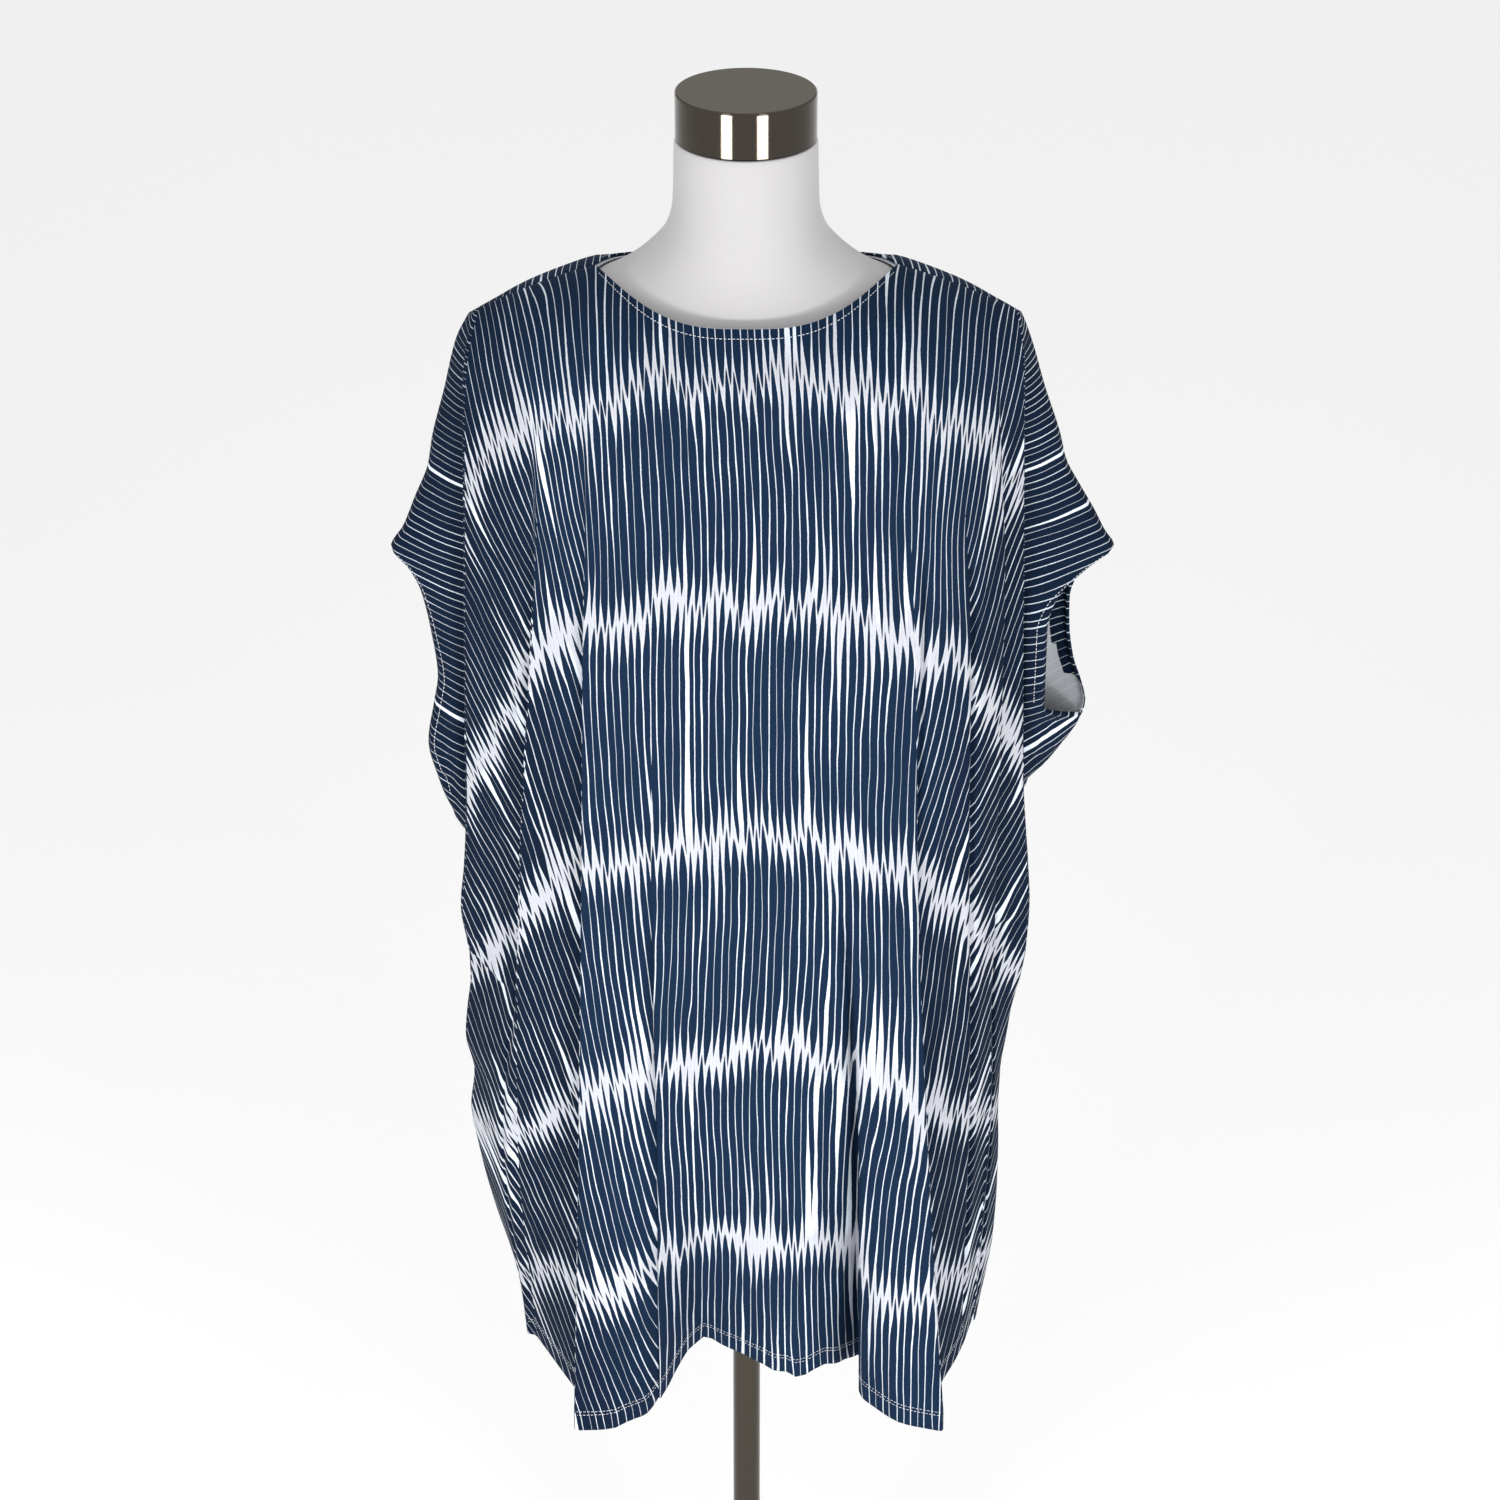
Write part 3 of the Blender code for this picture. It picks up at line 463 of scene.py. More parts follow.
def smooth(levels, values, z):
    """Values read at z from a table, along a curve that never overshoots them."""
    levels = np.asarray(levels, float)
    values = np.asarray(values, float)
    if levels[0] > levels[-1]:
        levels = levels[::-1]
        values = values[::-1]
    span = np.diff(levels)
    slope = np.diff(values) / span
    product = slope[:-1] * slope[1:]
    total = np.where(product > 0, slope[:-1] + slope[1:], 1)
    mean = np.where(product > 0, 2 * product / total, 0)
    tangent = np.concatenate(([slope[0]], mean, [slope[-1]]))
    z = np.clip(z, levels[0], levels[-1])
    i = np.clip(np.searchsorted(levels, z) - 1, 0, len(span) - 1)
    t = (z - levels[i]) / span[i]
    start = (1 + 2 * t) * (1 - t) ** 2 * values[i] + t * (1 - t) ** 2 * span[i] * tangent[i]
    end = t**2 * (3 - 2 * t) * values[i + 1] + t**2 * (t - 1) * span[i] * tangent[i + 1]
    return start + end


def table(rows, column, z):
    """One column of a table with a z column, read at z."""
    return smooth([row.z * MM for row in rows], [getattr(row, column) * MM for row in rows], z)


def ease(t):
    t = np.clip(t, 0, 1)
    return t * t * (3 - 2 * t)


def body_half(side, z):
    return table(BODY, "left" if side == LEFT else "right", z)


def sheet_edge(face, side, z):
    """Where a sheet ends: the overarm seam, the cuff, then the side seam behind the outermost fold."""
    name = "front" if face == FRONT else "back"
    sleeve_x = table(SLEEVE_EDGES[side], name + "_x", z)
    sleeve_y = table(SLEEVE_EDGES[side], name + "_y", z)
    seam_x = body_half(side, z) - SEAM_INSET
    seam_y = smooth(LEVELS, SEAM_Y, z)
    on_sleeve = ease((z - SEAM_TOP[side] + SEAM_BLEND) / SEAM_BLEND)
    x = side * (seam_x + (sleeve_x - seam_x) * on_sleeve)
    y = seam_y + (sleeve_y - seam_y) * on_sleeve
    return x, y


def sleeve_nodes(face, side, rim, z):
    """The sleeve's half of a section, from the seam or cuff in to the outermost fold of the body."""
    nose_x = side * (body_half(side, z) - rim.inset * MM)
    nose_y = smooth(LEVELS, np.array(rim.y) * MM, z)
    tail_x = nose_x - side * smooth(LEVELS, np.array(rim.lap) * MM, z)
    tail_y = nose_y - face * smooth(LEVELS, np.array(rim.step) * MM, z)
    edge_x, edge_y = sheet_edge(face, side, z)
    width = side * (edge_x - tail_x)
    puff = np.clip(width / WIDE_SLEEVE, 0, 1)
    ridge_x = edge_x - side * np.clip(SLEEVE_EDGE_SHARE * width, 0, SLEEVE_EDGE_TURN)
    ridge_y = edge_y + face * SLEEVE_HALF_DEPTH * puff + (tail_y - edge_y) * SLEEVE_FLAT_SHARE * (1 - puff)
    middle_x = (tail_x + ridge_x) / 2
    middle_y = (tail_y + ridge_y) / 2 + face * SLEEVE_BULGE * puff
    return [(edge_x, edge_y), (ridge_x, ridge_y), (middle_x, middle_y), (tail_x, tail_y), (nose_x, nose_y)]


def section(face, z):
    """The points that a sheet's section bends at, at height z, from left to right."""
    rims = FRONT_RIMS if face == FRONT else BACK_RIMS
    folds = FRONT_FOLDS if face == FRONT else BACK_FOLDS
    nodes = sleeve_nodes(face, LEFT, rims[LEFT], z)
    for fold in folds:
        x = smooth(LEVELS, np.array(fold.x) * MM, z)
        y = smooth(LEVELS, np.array(fold.y) * MM, z)
        if isinstance(fold, Bend):
            nodes.append((x, y))
            continue
        lap = smooth(LEVELS, np.array(fold.lap) * MM, z)
        step = smooth(LEVELS, np.array(fold.step) * MM, z)
        tail = (x - fold.faces * lap, y - face * step)
        nodes += [tail, (x, y)] if fold.faces == LEFT else [(x, y), tail]
    nodes += sleeve_nodes(face, RIGHT, rims[RIGHT], z)[::-1]
    return np.array(nodes)


def node_values(face):
    """For each bend of a section: how much of each side it rounds off, and the hem's height there."""
    rims = FRONT_RIMS if face == FRONT else BACK_RIMS
    folds = FRONT_FOLDS if face == FRONT else BACK_FOLDS
    left = rims[LEFT]
    right = rims[RIGHT]
    turns = [*SLEEVE_TURNS, left.turn]
    hems = [left.hem + rise for rise in (*SLEEVE_HEM_RISES, 0)]
    for fold in folds:
        count = 1 if isinstance(fold, Bend) else 2
        turns += [fold.turn] * count
        hems += [fold.hem] * count
    turns += [right.turn, *SLEEVE_TURNS[::-1]]
    hems += [right.hem + rise for rise in (0, *SLEEVE_HEM_RISES[::-1])]
    return np.array(turns), np.array(hems) * MM


def neck_share(x):
    """0 at both corners of the neckline and beyond, 1 in its middle."""
    return (1 - np.minimum(np.abs(x) / NECK_HALF, 1) ** NECK_POWER) ** 2


def ridge_height(face, x):
    """Height of the shoulder line, and of its continuation over the neck."""
    out = np.maximum(np.abs(x) - NECK_HALF, 0)
    return NECK_SIDE_Z - SHOULDER_DROP * out - SHOULDER_ROUND * out**2 + RIDGE_RISE[face] * neck_share(x)


def top_height(face, x):
    """Height of a sheet's upper edge: the neckline, then the shoulder seam."""
    neck = NECK_SIDE_Z + NECK_RISE[face] * neck_share(x)
    return np.where(np.abs(x) < NECK_HALF, neck, ridge_height(face, x))


def crown_depth(face, x):
    """How far below the ridge the cloth has rounded over to hang."""
    share = np.minimum(np.abs(x) / SHOULDER_TIP, 1) ** CROWN_POWER
    return CROWN_MIDDLE[face] + (CROWN_TIP[face] - CROWN_MIDDLE[face]) * share


def on_section(face, u, z):
    """The point at u on a section, u counting its bends and each bend rounded off by its own share."""
    nodes = section(face, z)
    turns = node_values(face)[0]
    near = np.clip(np.rint(u).astype(int), 0, len(turns) - 1)
    before = np.maximum(near - 1, 0)
    after = np.minimum(near + 1, len(turns) - 1)
    column = np.arange(len(u))
    here = nodes[near, ..., column]
    back = nodes[before, ..., column]
    ahead = nodes[after, ..., column]
    off = u - near
    turn = np.maximum(turns[near], 1e-6)
    t = np.clip((off + turn) / (2 * turn), 0, 1)
    inside = np.abs(off) < turn
    share_back = np.where(inside, turn * (1 - t) ** 2, np.maximum(-off, 0))
    share_ahead = np.where(inside, turn * t**2, np.maximum(off, 0))
    shape = (-1,) + (1,) * (here.ndim - 1)
    share_back = share_back.reshape(shape)
    share_ahead = share_ahead.reshape(shape)
    return here + (back - here) * share_back + (ahead - here) * share_ahead


def section_place(face, u, z):
    """x and y of a sheet at u and height z, before it is drawn in at the shoulders."""
    point = on_section(face, u, z)
    return np.moveaxis(point[:, 0], 0, -1), np.moveaxis(point[:, 1], 0, -1)


def crease_offset(face, x, z):
    """How far the small creases sink the cloth at x and z."""
    offset = np.zeros(np.broadcast(x, z).shape)
    for crease in CREASES:
        if crease.face != face:
            continue
        along = (crease.z_top * MM - z) / ((crease.z_top - crease.z_low) * MM)
        sway = crease.sway * MM * np.sin(2 * np.pi * z / (crease.wave * MM))
        middle = (crease.x_top + (crease.x_low - crease.x_top) * along) * MM + sway
        ends = ease(along / CREASE_FADE_IN) * ease((1 + CREASE_RUN_ON - along) / CREASE_FADE_OUT)
        offset += crease.depth * MM * ends * np.exp(-(((x - middle) / (crease.width * MM)) ** 2))
    for pleat in PLEATS:
        if pleat.face != face:
            continue
        along = (x - pleat.x_left * MM) / ((pleat.x_right - pleat.x_left) * MM)
        below = (pleat.z_left + (pleat.z_right - pleat.z_left) * along) * MM - z
        ends = ease((x - pleat.x_left * MM) / PLEAT_END) * ease((pleat.x_right * MM - x) / PLEAT_END)
        sunk = ease(below / PLEAT_SOFT) * np.exp(-np.maximum(below, 0) / PLEAT_REACH)
        raised = np.exp(-((below / PLEAT_LIP_REACH) ** 2)) * (below < 0)
        offset += pleat.depth * MM * ends * (sunk - PLEAT_LIP * raised)
    return offset


def furrow_offset(face, u, z):
    """How far the furrows sink the cloth at u and z."""
    offset = np.zeros(np.broadcast(u, z).shape)
    for furrow in FURROWS:
        if furrow.face == face:
            upper = ease((furrow.z_top * MM - z) / FURROW_END)
            lower = ease((z - furrow.z_low * MM) / FURROW_END + FURROW_LOW_SHARE)
            reach = np.where(u < furrow.place, furrow.left, furrow.right)
            near = np.maximum(1 - np.abs(u - furrow.place) / reach, 0) ** FURROW_POWER
            offset += furrow.depth * MM * upper * lower * near
    return offset


def cloth_point(face, u, z):
    """x and y of a sheet at u and height z, with its crown over the shoulders and its creases."""
    x, y = section_place(face, u, z)
    below = np.clip((ridge_height(face, x) - z) / crown_depth(face, x), 0, 1)
    crown = np.sqrt(1 - (1 - below) ** 2)
    sunk = crease_offset(face, x, z) + furrow_offset(face, u, z)
    return x, y * crown + face * (HALF_SEAM - sunk * crown)


def cloth_heights(face, u, rows):
    """Heights of a sheet's rows, following the shoulder at the top and the hem below."""
    hems = node_values(face)[1]
    hem = np.interp(u, np.arange(len(hems)), hems)
    top = np.full(len(u), rows[0])
    for _ in range(EDGE_ROUNDS):
        x, _y = cloth_point(face, u, top)
        top = top_height(face, x)
    hem_x = section_place(face, u, np.full(len(u), rows[-1]))[0]
    for place, rise, half_width in HEM_STEPS[face]:
        hem = hem + rise * MM * np.exp(-(((hem_x - place * MM) / (half_width * MM)) ** 2))
    near_top = np.clip((rows - TOP_BLEND_Z) / (rows[0] - TOP_BLEND_Z), 0, 1)[:, None]
    near_hem = np.clip((HEM_BLEND_Z - rows) / (HEM_BLEND_Z - rows[-1]), 0, 1)[:, None]
    return rows[:, None] + near_top * (top - rows[0]) + near_hem * (hem - rows[-1])


def cloth_grid(face, u, rows):
    """Points of a sheet, a row for each height."""
    z = cloth_heights(face, u, rows)
    x, y = cloth_point(face, u, z)
    return np.stack((x, y, z), axis=-1)


def fine_rows():
    near_shoulder = TOP_Z - (TOP_Z - CROWN_ROWS_Z) * np.linspace(0, 1, CROWN_ROWS) ** 2
    count = round((CROWN_ROWS_Z - BOTTOM_Z) / ROW_STEP)
    return np.concatenate((near_shoulder, np.linspace(CROWN_ROWS_Z, BOTTOM_Z, count + 1)[1:]))


def fine_columns(face):
    """Where the columns of a sheet lie: a few at each turn, and evenly between the turns."""
    turns = node_values(face)[0]
    nodes = section(face, LEVELS)
    places = [np.array([0.0])]
    for i in range(len(turns) - 1):
        if turns[i]:
            places.append(i + turns[i] * np.linspace(-1, 1, TURN_COLUMNS))
        width = np.linalg.norm(nodes[i + 1] - nodes[i], axis=0).max()
        straight = 1 - turns[i] - turns[i + 1]
        count = int(np.ceil(width * straight / COLUMN_STEP))
        places.append(i + turns[i] + straight * np.arange(1, count) / count)
    for furrow in FURROWS:
        if furrow.face == face:
            steps = (-furrow.left, -furrow.left / 2, 0, furrow.right / 2, furrow.right)
            places.append(furrow.place + np.array(steps))
    places.append(np.array([len(turns) - 1.0]))
    return np.unique(np.round(np.concatenate(places), 6))


def band_place(x, height):
    """How many bands lie above each point, counting part of the way to the next one."""
    heights = []
    for band in BANDS:
        heights.append(band.z * MM - np.interp(np.abs(x), BAND_PLACES, np.array(band.falls) * MM))
    place = np.zeros(np.shape(height))
    for upper, lower in zip(heights[:-1], heights[1:]):
        place += np.clip((upper - height) / (upper - lower), 0, 1)
    return place


def facet_places(facet, x, across, height, z):
    """Where points lie on the flat cloth if they belong to the facet."""
    swing = np.radians(smooth(LEVELS, facet.swing, z))
    inward = SHOULDER_TIP - facet.side * across
    drop = SHOULDER_PIVOT_Z - height
    flat_x = facet.side * (SHOULDER_TIP - inward * np.cos(swing) + drop * np.sin(swing))
    if facet.sleeve:
        below = inward * np.sin(swing) + drop * np.cos(swing) + SLEEVE_LIFT
        place = SLEEVE_LOW + (SLEEVE_HIGH - SLEEVE_LOW) * ease(below / BAND_STEP)
    else:
        place = band_place(x, height)
    return np.stack((flat_x, -BAND_STEP * place), axis=-1)


def print_places(face, u, points):
    """Where the four corners of each cell of a sheet lie on the flat printed cloth, in metres."""
    z = points[..., 2]
    x, y = section_place(face, u, z)
    steps = np.hypot(np.diff(x, axis=1), DEPTH_SHARE * np.diff(y, axis=1))
    across = np.concatenate((np.zeros((len(x), 1)), np.cumsum(steps, axis=1)), axis=1)
    level = np.argmin(np.abs(z[:, len(u) // 2] - TOP_BLEND_Z))
    middle = np.argmin(np.abs(x[level]))
    across += (x - across)[:, middle][:, None]
    down = np.hypot(np.diff(points[..., 1], axis=0), np.diff(z, axis=0))
    down = np.concatenate((np.zeros((1, len(u))), np.cumsum(down, axis=0)))
    height = np.where(np.arange(len(z))[:, None] < level, z[level] + down[level] - down, z)
    facets = PRINT_FACETS[face]
    places = np.array([facet_places(facet, x, across, height, z) for facet in facets])
    on_body = [i for i, facet in enumerate(facets) if not facet.sleeve]
    middles = [(facets[i].start + facets[i].end) / 2 for i in on_body]
    between = np.interp(u, middles, on_body)
    share = np.maximum(1 - np.abs(between - np.arange(len(facets))[:, None]), 0)
    even = (places * share[:, None, :, None]).sum(axis=0)
    evened = ease((z - FOLDS_START_Z) / FOLDS_BLEND)
    own = np.searchsorted([facet.end for facet in facets[:-1]], (u[:-1] + u[1:]) / 2)
    cell = np.arange(len(own))
    cell_on_body = np.isin(own, on_body)
    corners = []
    for rows, columns in ((0, 0), (1, 0), (1, 1), (0, 1)):
        at = (slice(rows, len(z) - 1 + rows), cell + columns)
        inside = np.moveaxis(places[own, :, cell + columns], 0, 1)[at[0]]
        inside[..., 0] += (even[at] - inside)[..., 0] * evened[at] * cell_on_body
        corners.append(inside)
    return np.stack(corners, axis=2)


def normals_of(points, face):
    """Outward normals of a grid of points."""
    along = np.gradient(points, axis=1)
    down = np.gradient(points, axis=0)
    normal = face * np.cross(along, down)
    return normal / np.maximum(np.linalg.norm(normal, axis=-1, keepdims=True), 1e-12)


def double_here(points):
    """1 for each point that lies in a turned hem or cuff, else 0."""
    x = points[..., 0]
    z = points[..., 2]
    turned = (z - z[-1]) < HEM_DEPTH
    for side, edge in ((LEFT, 0), (RIGHT, -1)):
        from_edge = np.abs(x - x[:, edge][:, None])
        in_cuff = (z < CUFF_TOP[side]) & (z > CUFF_LOW[side] + CUFF_END) & (from_edge < CUFF_DEPTH)
        turned |= in_cuff & (side * x > 0)
    return turned


def keep(mesh, name, *looks):
    """Puts a mesh into the scene under its own name, smooth, and riding on the one body."""
    mesh.shade_smooth()
    for look in looks:
        mesh.materials.append(look)
    made = bpy.data.objects.new(name, mesh)
    bpy.context.scene.collection.objects.link(made)
    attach(made, "root")
    return made


def grid_mesh(name, points, flat):
    """A grid of quads through the points, with the places of its corners on the flat cloth as its UV map."""
    row_count, column_count = points.shape[:2]
    corner = np.arange(row_count * column_count).reshape(row_count, column_count)
    quads = np.stack((corner[:-1, :-1], corner[1:, :-1], corner[1:, 1:], corner[:-1, 1:]), axis=-1)
    mesh = bpy.data.meshes.new(name)
    mesh.from_pydata(points.reshape(-1, 3).tolist(), [], quads.reshape(-1, 4).tolist())
    layer = mesh.uv_layers.new(name="cloth")
    layer.data.foreach_set("uv", flat.astype(np.float32).ravel())
    return mesh


def make_sheet(name, face, looks):
    """The front or the back, with its wall inside, double in the turned hems."""
    u = fine_columns(face)
    points = cloth_grid(face, u, fine_rows())
    flat = print_places(face, u, points)
    turned = double_here(points)
    shown = points if face == FRONT else points[:, ::-1]
    mesh = grid_mesh(name, shown, flat if face == FRONT else flat[:, ::-1, (3, 2, 1, 0)])
    marks = mesh.attributes.new("turned", "FLOAT", "POINT")
    doubled = (turned if face == FRONT else turned[:, ::-1]).ravel()
    marks.data.foreach_set("value", doubled.astype(np.float32))
    sheet = keep(mesh, name, *looks)
    layers = sheet.vertex_groups.new(name="layers")
    layers.add(np.nonzero(doubled)[0].tolist(), 1.0, "REPLACE")
    layers.add(np.nonzero(~doubled)[0].tolist(), 0.5, "REPLACE")
    wall = sheet.modifiers.new("wall", "SOLIDIFY")
    wall.thickness = 2 * WALL
    wall.offset = -1
    wall.vertex_group = "layers"
    wall.material_offset = 1
    return sheet, points


def stitch_line(path, normals):
    """Corners and faces of a row of stitches along a path that lies on the cloth."""
    length = np.concatenate(([0], np.cumsum(np.linalg.norm(np.diff(path, axis=0), axis=1))))
    starts = np.arange(STITCH_GAP, length[-1] - STITCH, STITCH + STITCH_GAP)
    corners = []
    polygons = []
    for start in starts:
        ends = []
        for at in (start, start + STITCH):
            ends.append([np.interp(at, length, path[:, axis]) for axis in range(3)])
        ends = np.array(ends)
        out = np.array([np.interp(start + STITCH / 2, length, normals[:, axis]) for axis in range(3)])
        side = np.cross(ends[1] - ends[0], out)
        side /= max(np.linalg.norm(side), 1e-9)
        base = len(corners)
        for along, across, up in STITCH_CORNERS:
            place = ends[0] + (ends[1] - ends[0]) * along
            corners.append(place + (side * across + out * up) * STITCH_HALF_WIDTH)
        polygons += [[base + i for i in face] for face in STITCH_FACES]
    return corners, polygons


def row_at(depth, wanted):
    """For each column, the fractional row at which its depth, rising downwards, reaches the wanted value."""
    rows = np.arange(len(depth))
    return np.array([np.interp(wanted, depth[:, i], rows) for i in range(depth.shape[1])])


def along_columns(grid, rows):
    """Values of a grid at a fractional row in each column."""
    low = np.clip(rows.astype(int), 0, len(grid) - 2)
    share = (rows - low)[:, None]
    column = np.arange(grid.shape[1])
    return grid[low, column] * (1 - share) + grid[low + 1, column] * share


def make_stitches(name, face, points, look):
    """The lines of stitches on a sheet: at the neckline, round the hem and along both cuffs."""
    normals = normals_of(points, face)
    down = np.linalg.norm(np.diff(points, axis=0), axis=2)
    from_top = np.concatenate((np.zeros((1, points.shape[1])), np.cumsum(down, axis=0)))
    lines = []
    at_neck = np.abs(points[0, :, 0]) < NECK_HALF - LINE_END
    rows = row_at(from_top, NECK_LINE)
    lines.append((along_columns(points, rows)[at_neck], along_columns(normals, rows)[at_neck]))
    for height in HEM_LINES:
        rows = row_at(from_top - from_top[-1], -height)
        lines.append((along_columns(points, rows), along_columns(normals, rows)))
    across = np.linalg.norm(np.diff(points, axis=1), axis=2)
    from_left = np.concatenate((np.zeros((len(points), 1)), np.cumsum(across, axis=1)), axis=1)
    for side in (LEFT, RIGHT):
        reach = from_left if side == LEFT else from_left - from_left[:, -1:]
        columns = row_at(reach.T, CUFF_LINE if side == LEFT else -CUFF_LINE)
        path = along_columns(np.swapaxes(points, 0, 1), columns)
        outward = along_columns(np.swapaxes(normals, 0, 1), columns)
        z = points[:, 0 if side == LEFT else -1, 2]
        in_cuff = (z < CUFF_TOP[side] - LINE_END) & (z > CUFF_LOW[side] + CUFF_END)
        lines.append((path[in_cuff], outward[in_cuff]))
    corners = []
    polygons = []
    for path, outward in lines:
        new_corners, new_polygons = stitch_line(path, outward)
        polygons += [[i + len(corners) for i in polygon] for polygon in new_polygons]
        corners += new_corners
    mesh = bpy.data.meshes.new(name)
    mesh.from_pydata([tuple(corner) for corner in corners], [], polygons)
    return keep(mesh, name, look)


def yoke_height(face, x, y):
    """Height of the cloth over the shoulders at a place seen from above."""
    on_body = section(face, LEVELS[:1])[YOKE_OUTER_BENDS:-YOKE_OUTER_BENDS, :, 0]
    reach = np.interp(x, on_body[:, 0], np.abs(on_body[:, 1]))
    share = np.clip(np.abs(y) / reach, 0, YOKE_LIMIT)
    return ridge_height(face, x) - crown_depth(face, x) * (1 - np.sqrt(1 - share**2))


def neck_loop(sheets):
    """The neckline seen from above, evenly spaced, going round from the left corner by the front."""
    halves = []
    for points, order in zip(sheets, (1, -1)):
        top = points[0]
        halves.append(top[np.abs(top[:, 0]) < NECK_HALF][::order, :2])
    loop = np.concatenate(halves + [halves[0][:1]])
    length = np.concatenate(([0], np.cumsum(np.linalg.norm(np.diff(loop, axis=0), axis=1))))
    at = np.linspace(0, length[-1], BINDING_POINTS, endpoint=False)
    return np.stack([np.interp(at, length, loop[:, axis]) for axis in (0, 1)], axis=1)


def yoke_point(place, below):
    """Points under the cloth over the shoulders: seen from above at place, and moved below its surface."""
    def height(x, y):
        toward_back = ease((y + YOKE_REACH) / (2 * YOKE_REACH))
        front = yoke_height(FRONT, x, y)
        return front + (yoke_height(BACK, x, y) - front) * toward_back

    x, y = place.T
    z = height(x, y)
    slope_x = (height(x + MM, y) - z) / MM
    slope_y = (height(x, y + MM) - z) / MM
    normal = np.column_stack((-slope_x, -slope_y, np.ones(len(x))))
    normal /= np.linalg.norm(normal, axis=1)[:, None]
    return np.column_stack((x, y, z)) - normal * below


def make_binding(sheets, look):
    """A strip inside the neckline, just under the cloth, with its upper edge showing."""
    loop = neck_loop(sheets)
    along = np.roll(loop, -1, axis=0) - np.roll(loop, 1, axis=0)
    outward = np.stack((along[:, 1], -along[:, 0]), axis=1)
    outward /= np.linalg.norm(outward, axis=1)[:, None]
    rings = []
    for reach in (-BINDING_SHOWS, *(row * BINDING_DEPTH for row in BINDING_ROWS)):
        rings.append(yoke_point(loop + outward * reach, BINDING_BELOW))
    rings = np.array(rings)
    closed = np.concatenate((rings, rings[:, :1]), axis=1)
    length = np.concatenate(([0], np.cumsum(np.linalg.norm(np.diff(closed[0], axis=0), axis=1))))
    depth = np.array((0, *BINDING_ROWS)) * BINDING_DEPTH
    places = np.stack(np.meshgrid(length, depth), axis=-1)
    corners = (places[:-1, :-1], places[1:, :-1], places[1:, 1:], places[:-1, 1:])
    mesh = grid_mesh("neck_binding_strip", closed, np.stack(corners, axis=2))
    shape = bmesh.new()
    shape.from_mesh(mesh)
    bmesh.ops.remove_doubles(shape, verts=shape.verts, dist=1e-5)
    shape.to_mesh(mesh)
    shape.free()
    strip = keep(mesh, "neck_binding_strip", look)
    wall = strip.modifiers.new("wall", "SOLIDIFY")
    wall.thickness = BINDING_WALL
    wall.offset = -1
    return strip


def make_form(look):
    """Neck and torso: a sphere primitive whose circles are moved to the form's cross-sections."""
    shape = bmesh.new()
    bmesh.ops.create_uvsphere(shape, u_segments=FORM_SIDES, v_segments=FORM_HEIGHTS, radius=1)
    places = np.arange(len(FORM_RINGS))
    columns = {name: [getattr(ring, name) for ring in FORM_RINGS] for name in Ring._fields}
    for vertex in shape.verts:
        from_bottom = 1 - np.arccos(np.clip(vertex.co.z, -1, 1)) / np.pi
        at_pole = abs(vertex.co.z) > 0.9999
        place = (from_bottom * FORM_HEIGHTS - 1) / (FORM_HEIGHTS - 2) * (len(FORM_RINGS) - 1)
        read = {name: float(smooth(places, values, place)) for name, values in columns.items()}
        angle = np.arctan2(vertex.co.y, vertex.co.x)
        side = 0 if at_pole else np.cos(angle)
        depth = 0 if at_pole else np.sin(angle)
        reach = read["front"] if depth < 0 else read["back"]
        height = read["z_front"] if depth < 0 else read["z_back"]
        x = np.sign(side) * abs(side) ** (2 / read["power"]) * read["half_width"]
        y = np.sign(depth) * abs(depth) ** (2 / read["power"]) * reach
        z = read["z_side"] + (height - read["z_side"]) * depth**2
        vertex.co = (x * MM, y * MM, z * MM)
    mesh = bpy.data.meshes.new("form_cover")
    shape.to_mesh(mesh)
    shape.free()
    return keep(mesh, "form_cover", look)


def make_turned(name, profile, look, sides=128):
    """A solid turned round the Z axis from a profile of radii and heights in millimetres."""
    angles = np.linspace(0, 2 * np.pi, sides, endpoint=False)
    corners = []
    for radius, z in profile[1:-1]:
        corners += [(radius * MM * np.cos(a), radius * MM * np.sin(a), z * MM) for a in angles]
    low = len(corners)
    corners += [(0, 0, profile[0][1] * MM), (0, 0, profile[-1][1] * MM)]
    rings = len(profile) - 2
    faces = []
    for i in range(sides):
        after = (i + 1) % sides
        for ring in range(rings - 1):
            start = ring * sides
            faces.append((start + i, start + after, start + sides + after, start + sides + i))
        faces.append((low, after, i))
        faces.append((low + 1, (rings - 1) * sides + i, (rings - 1) * sides + after))
    mesh = bpy.data.meshes.new(name)
    mesh.from_pydata(corners, [], faces)
    made = keep(mesh, name, look)
    mesh.set_sharp_from_angle(angle=np.radians(SHARP_ANGLE))
    return made


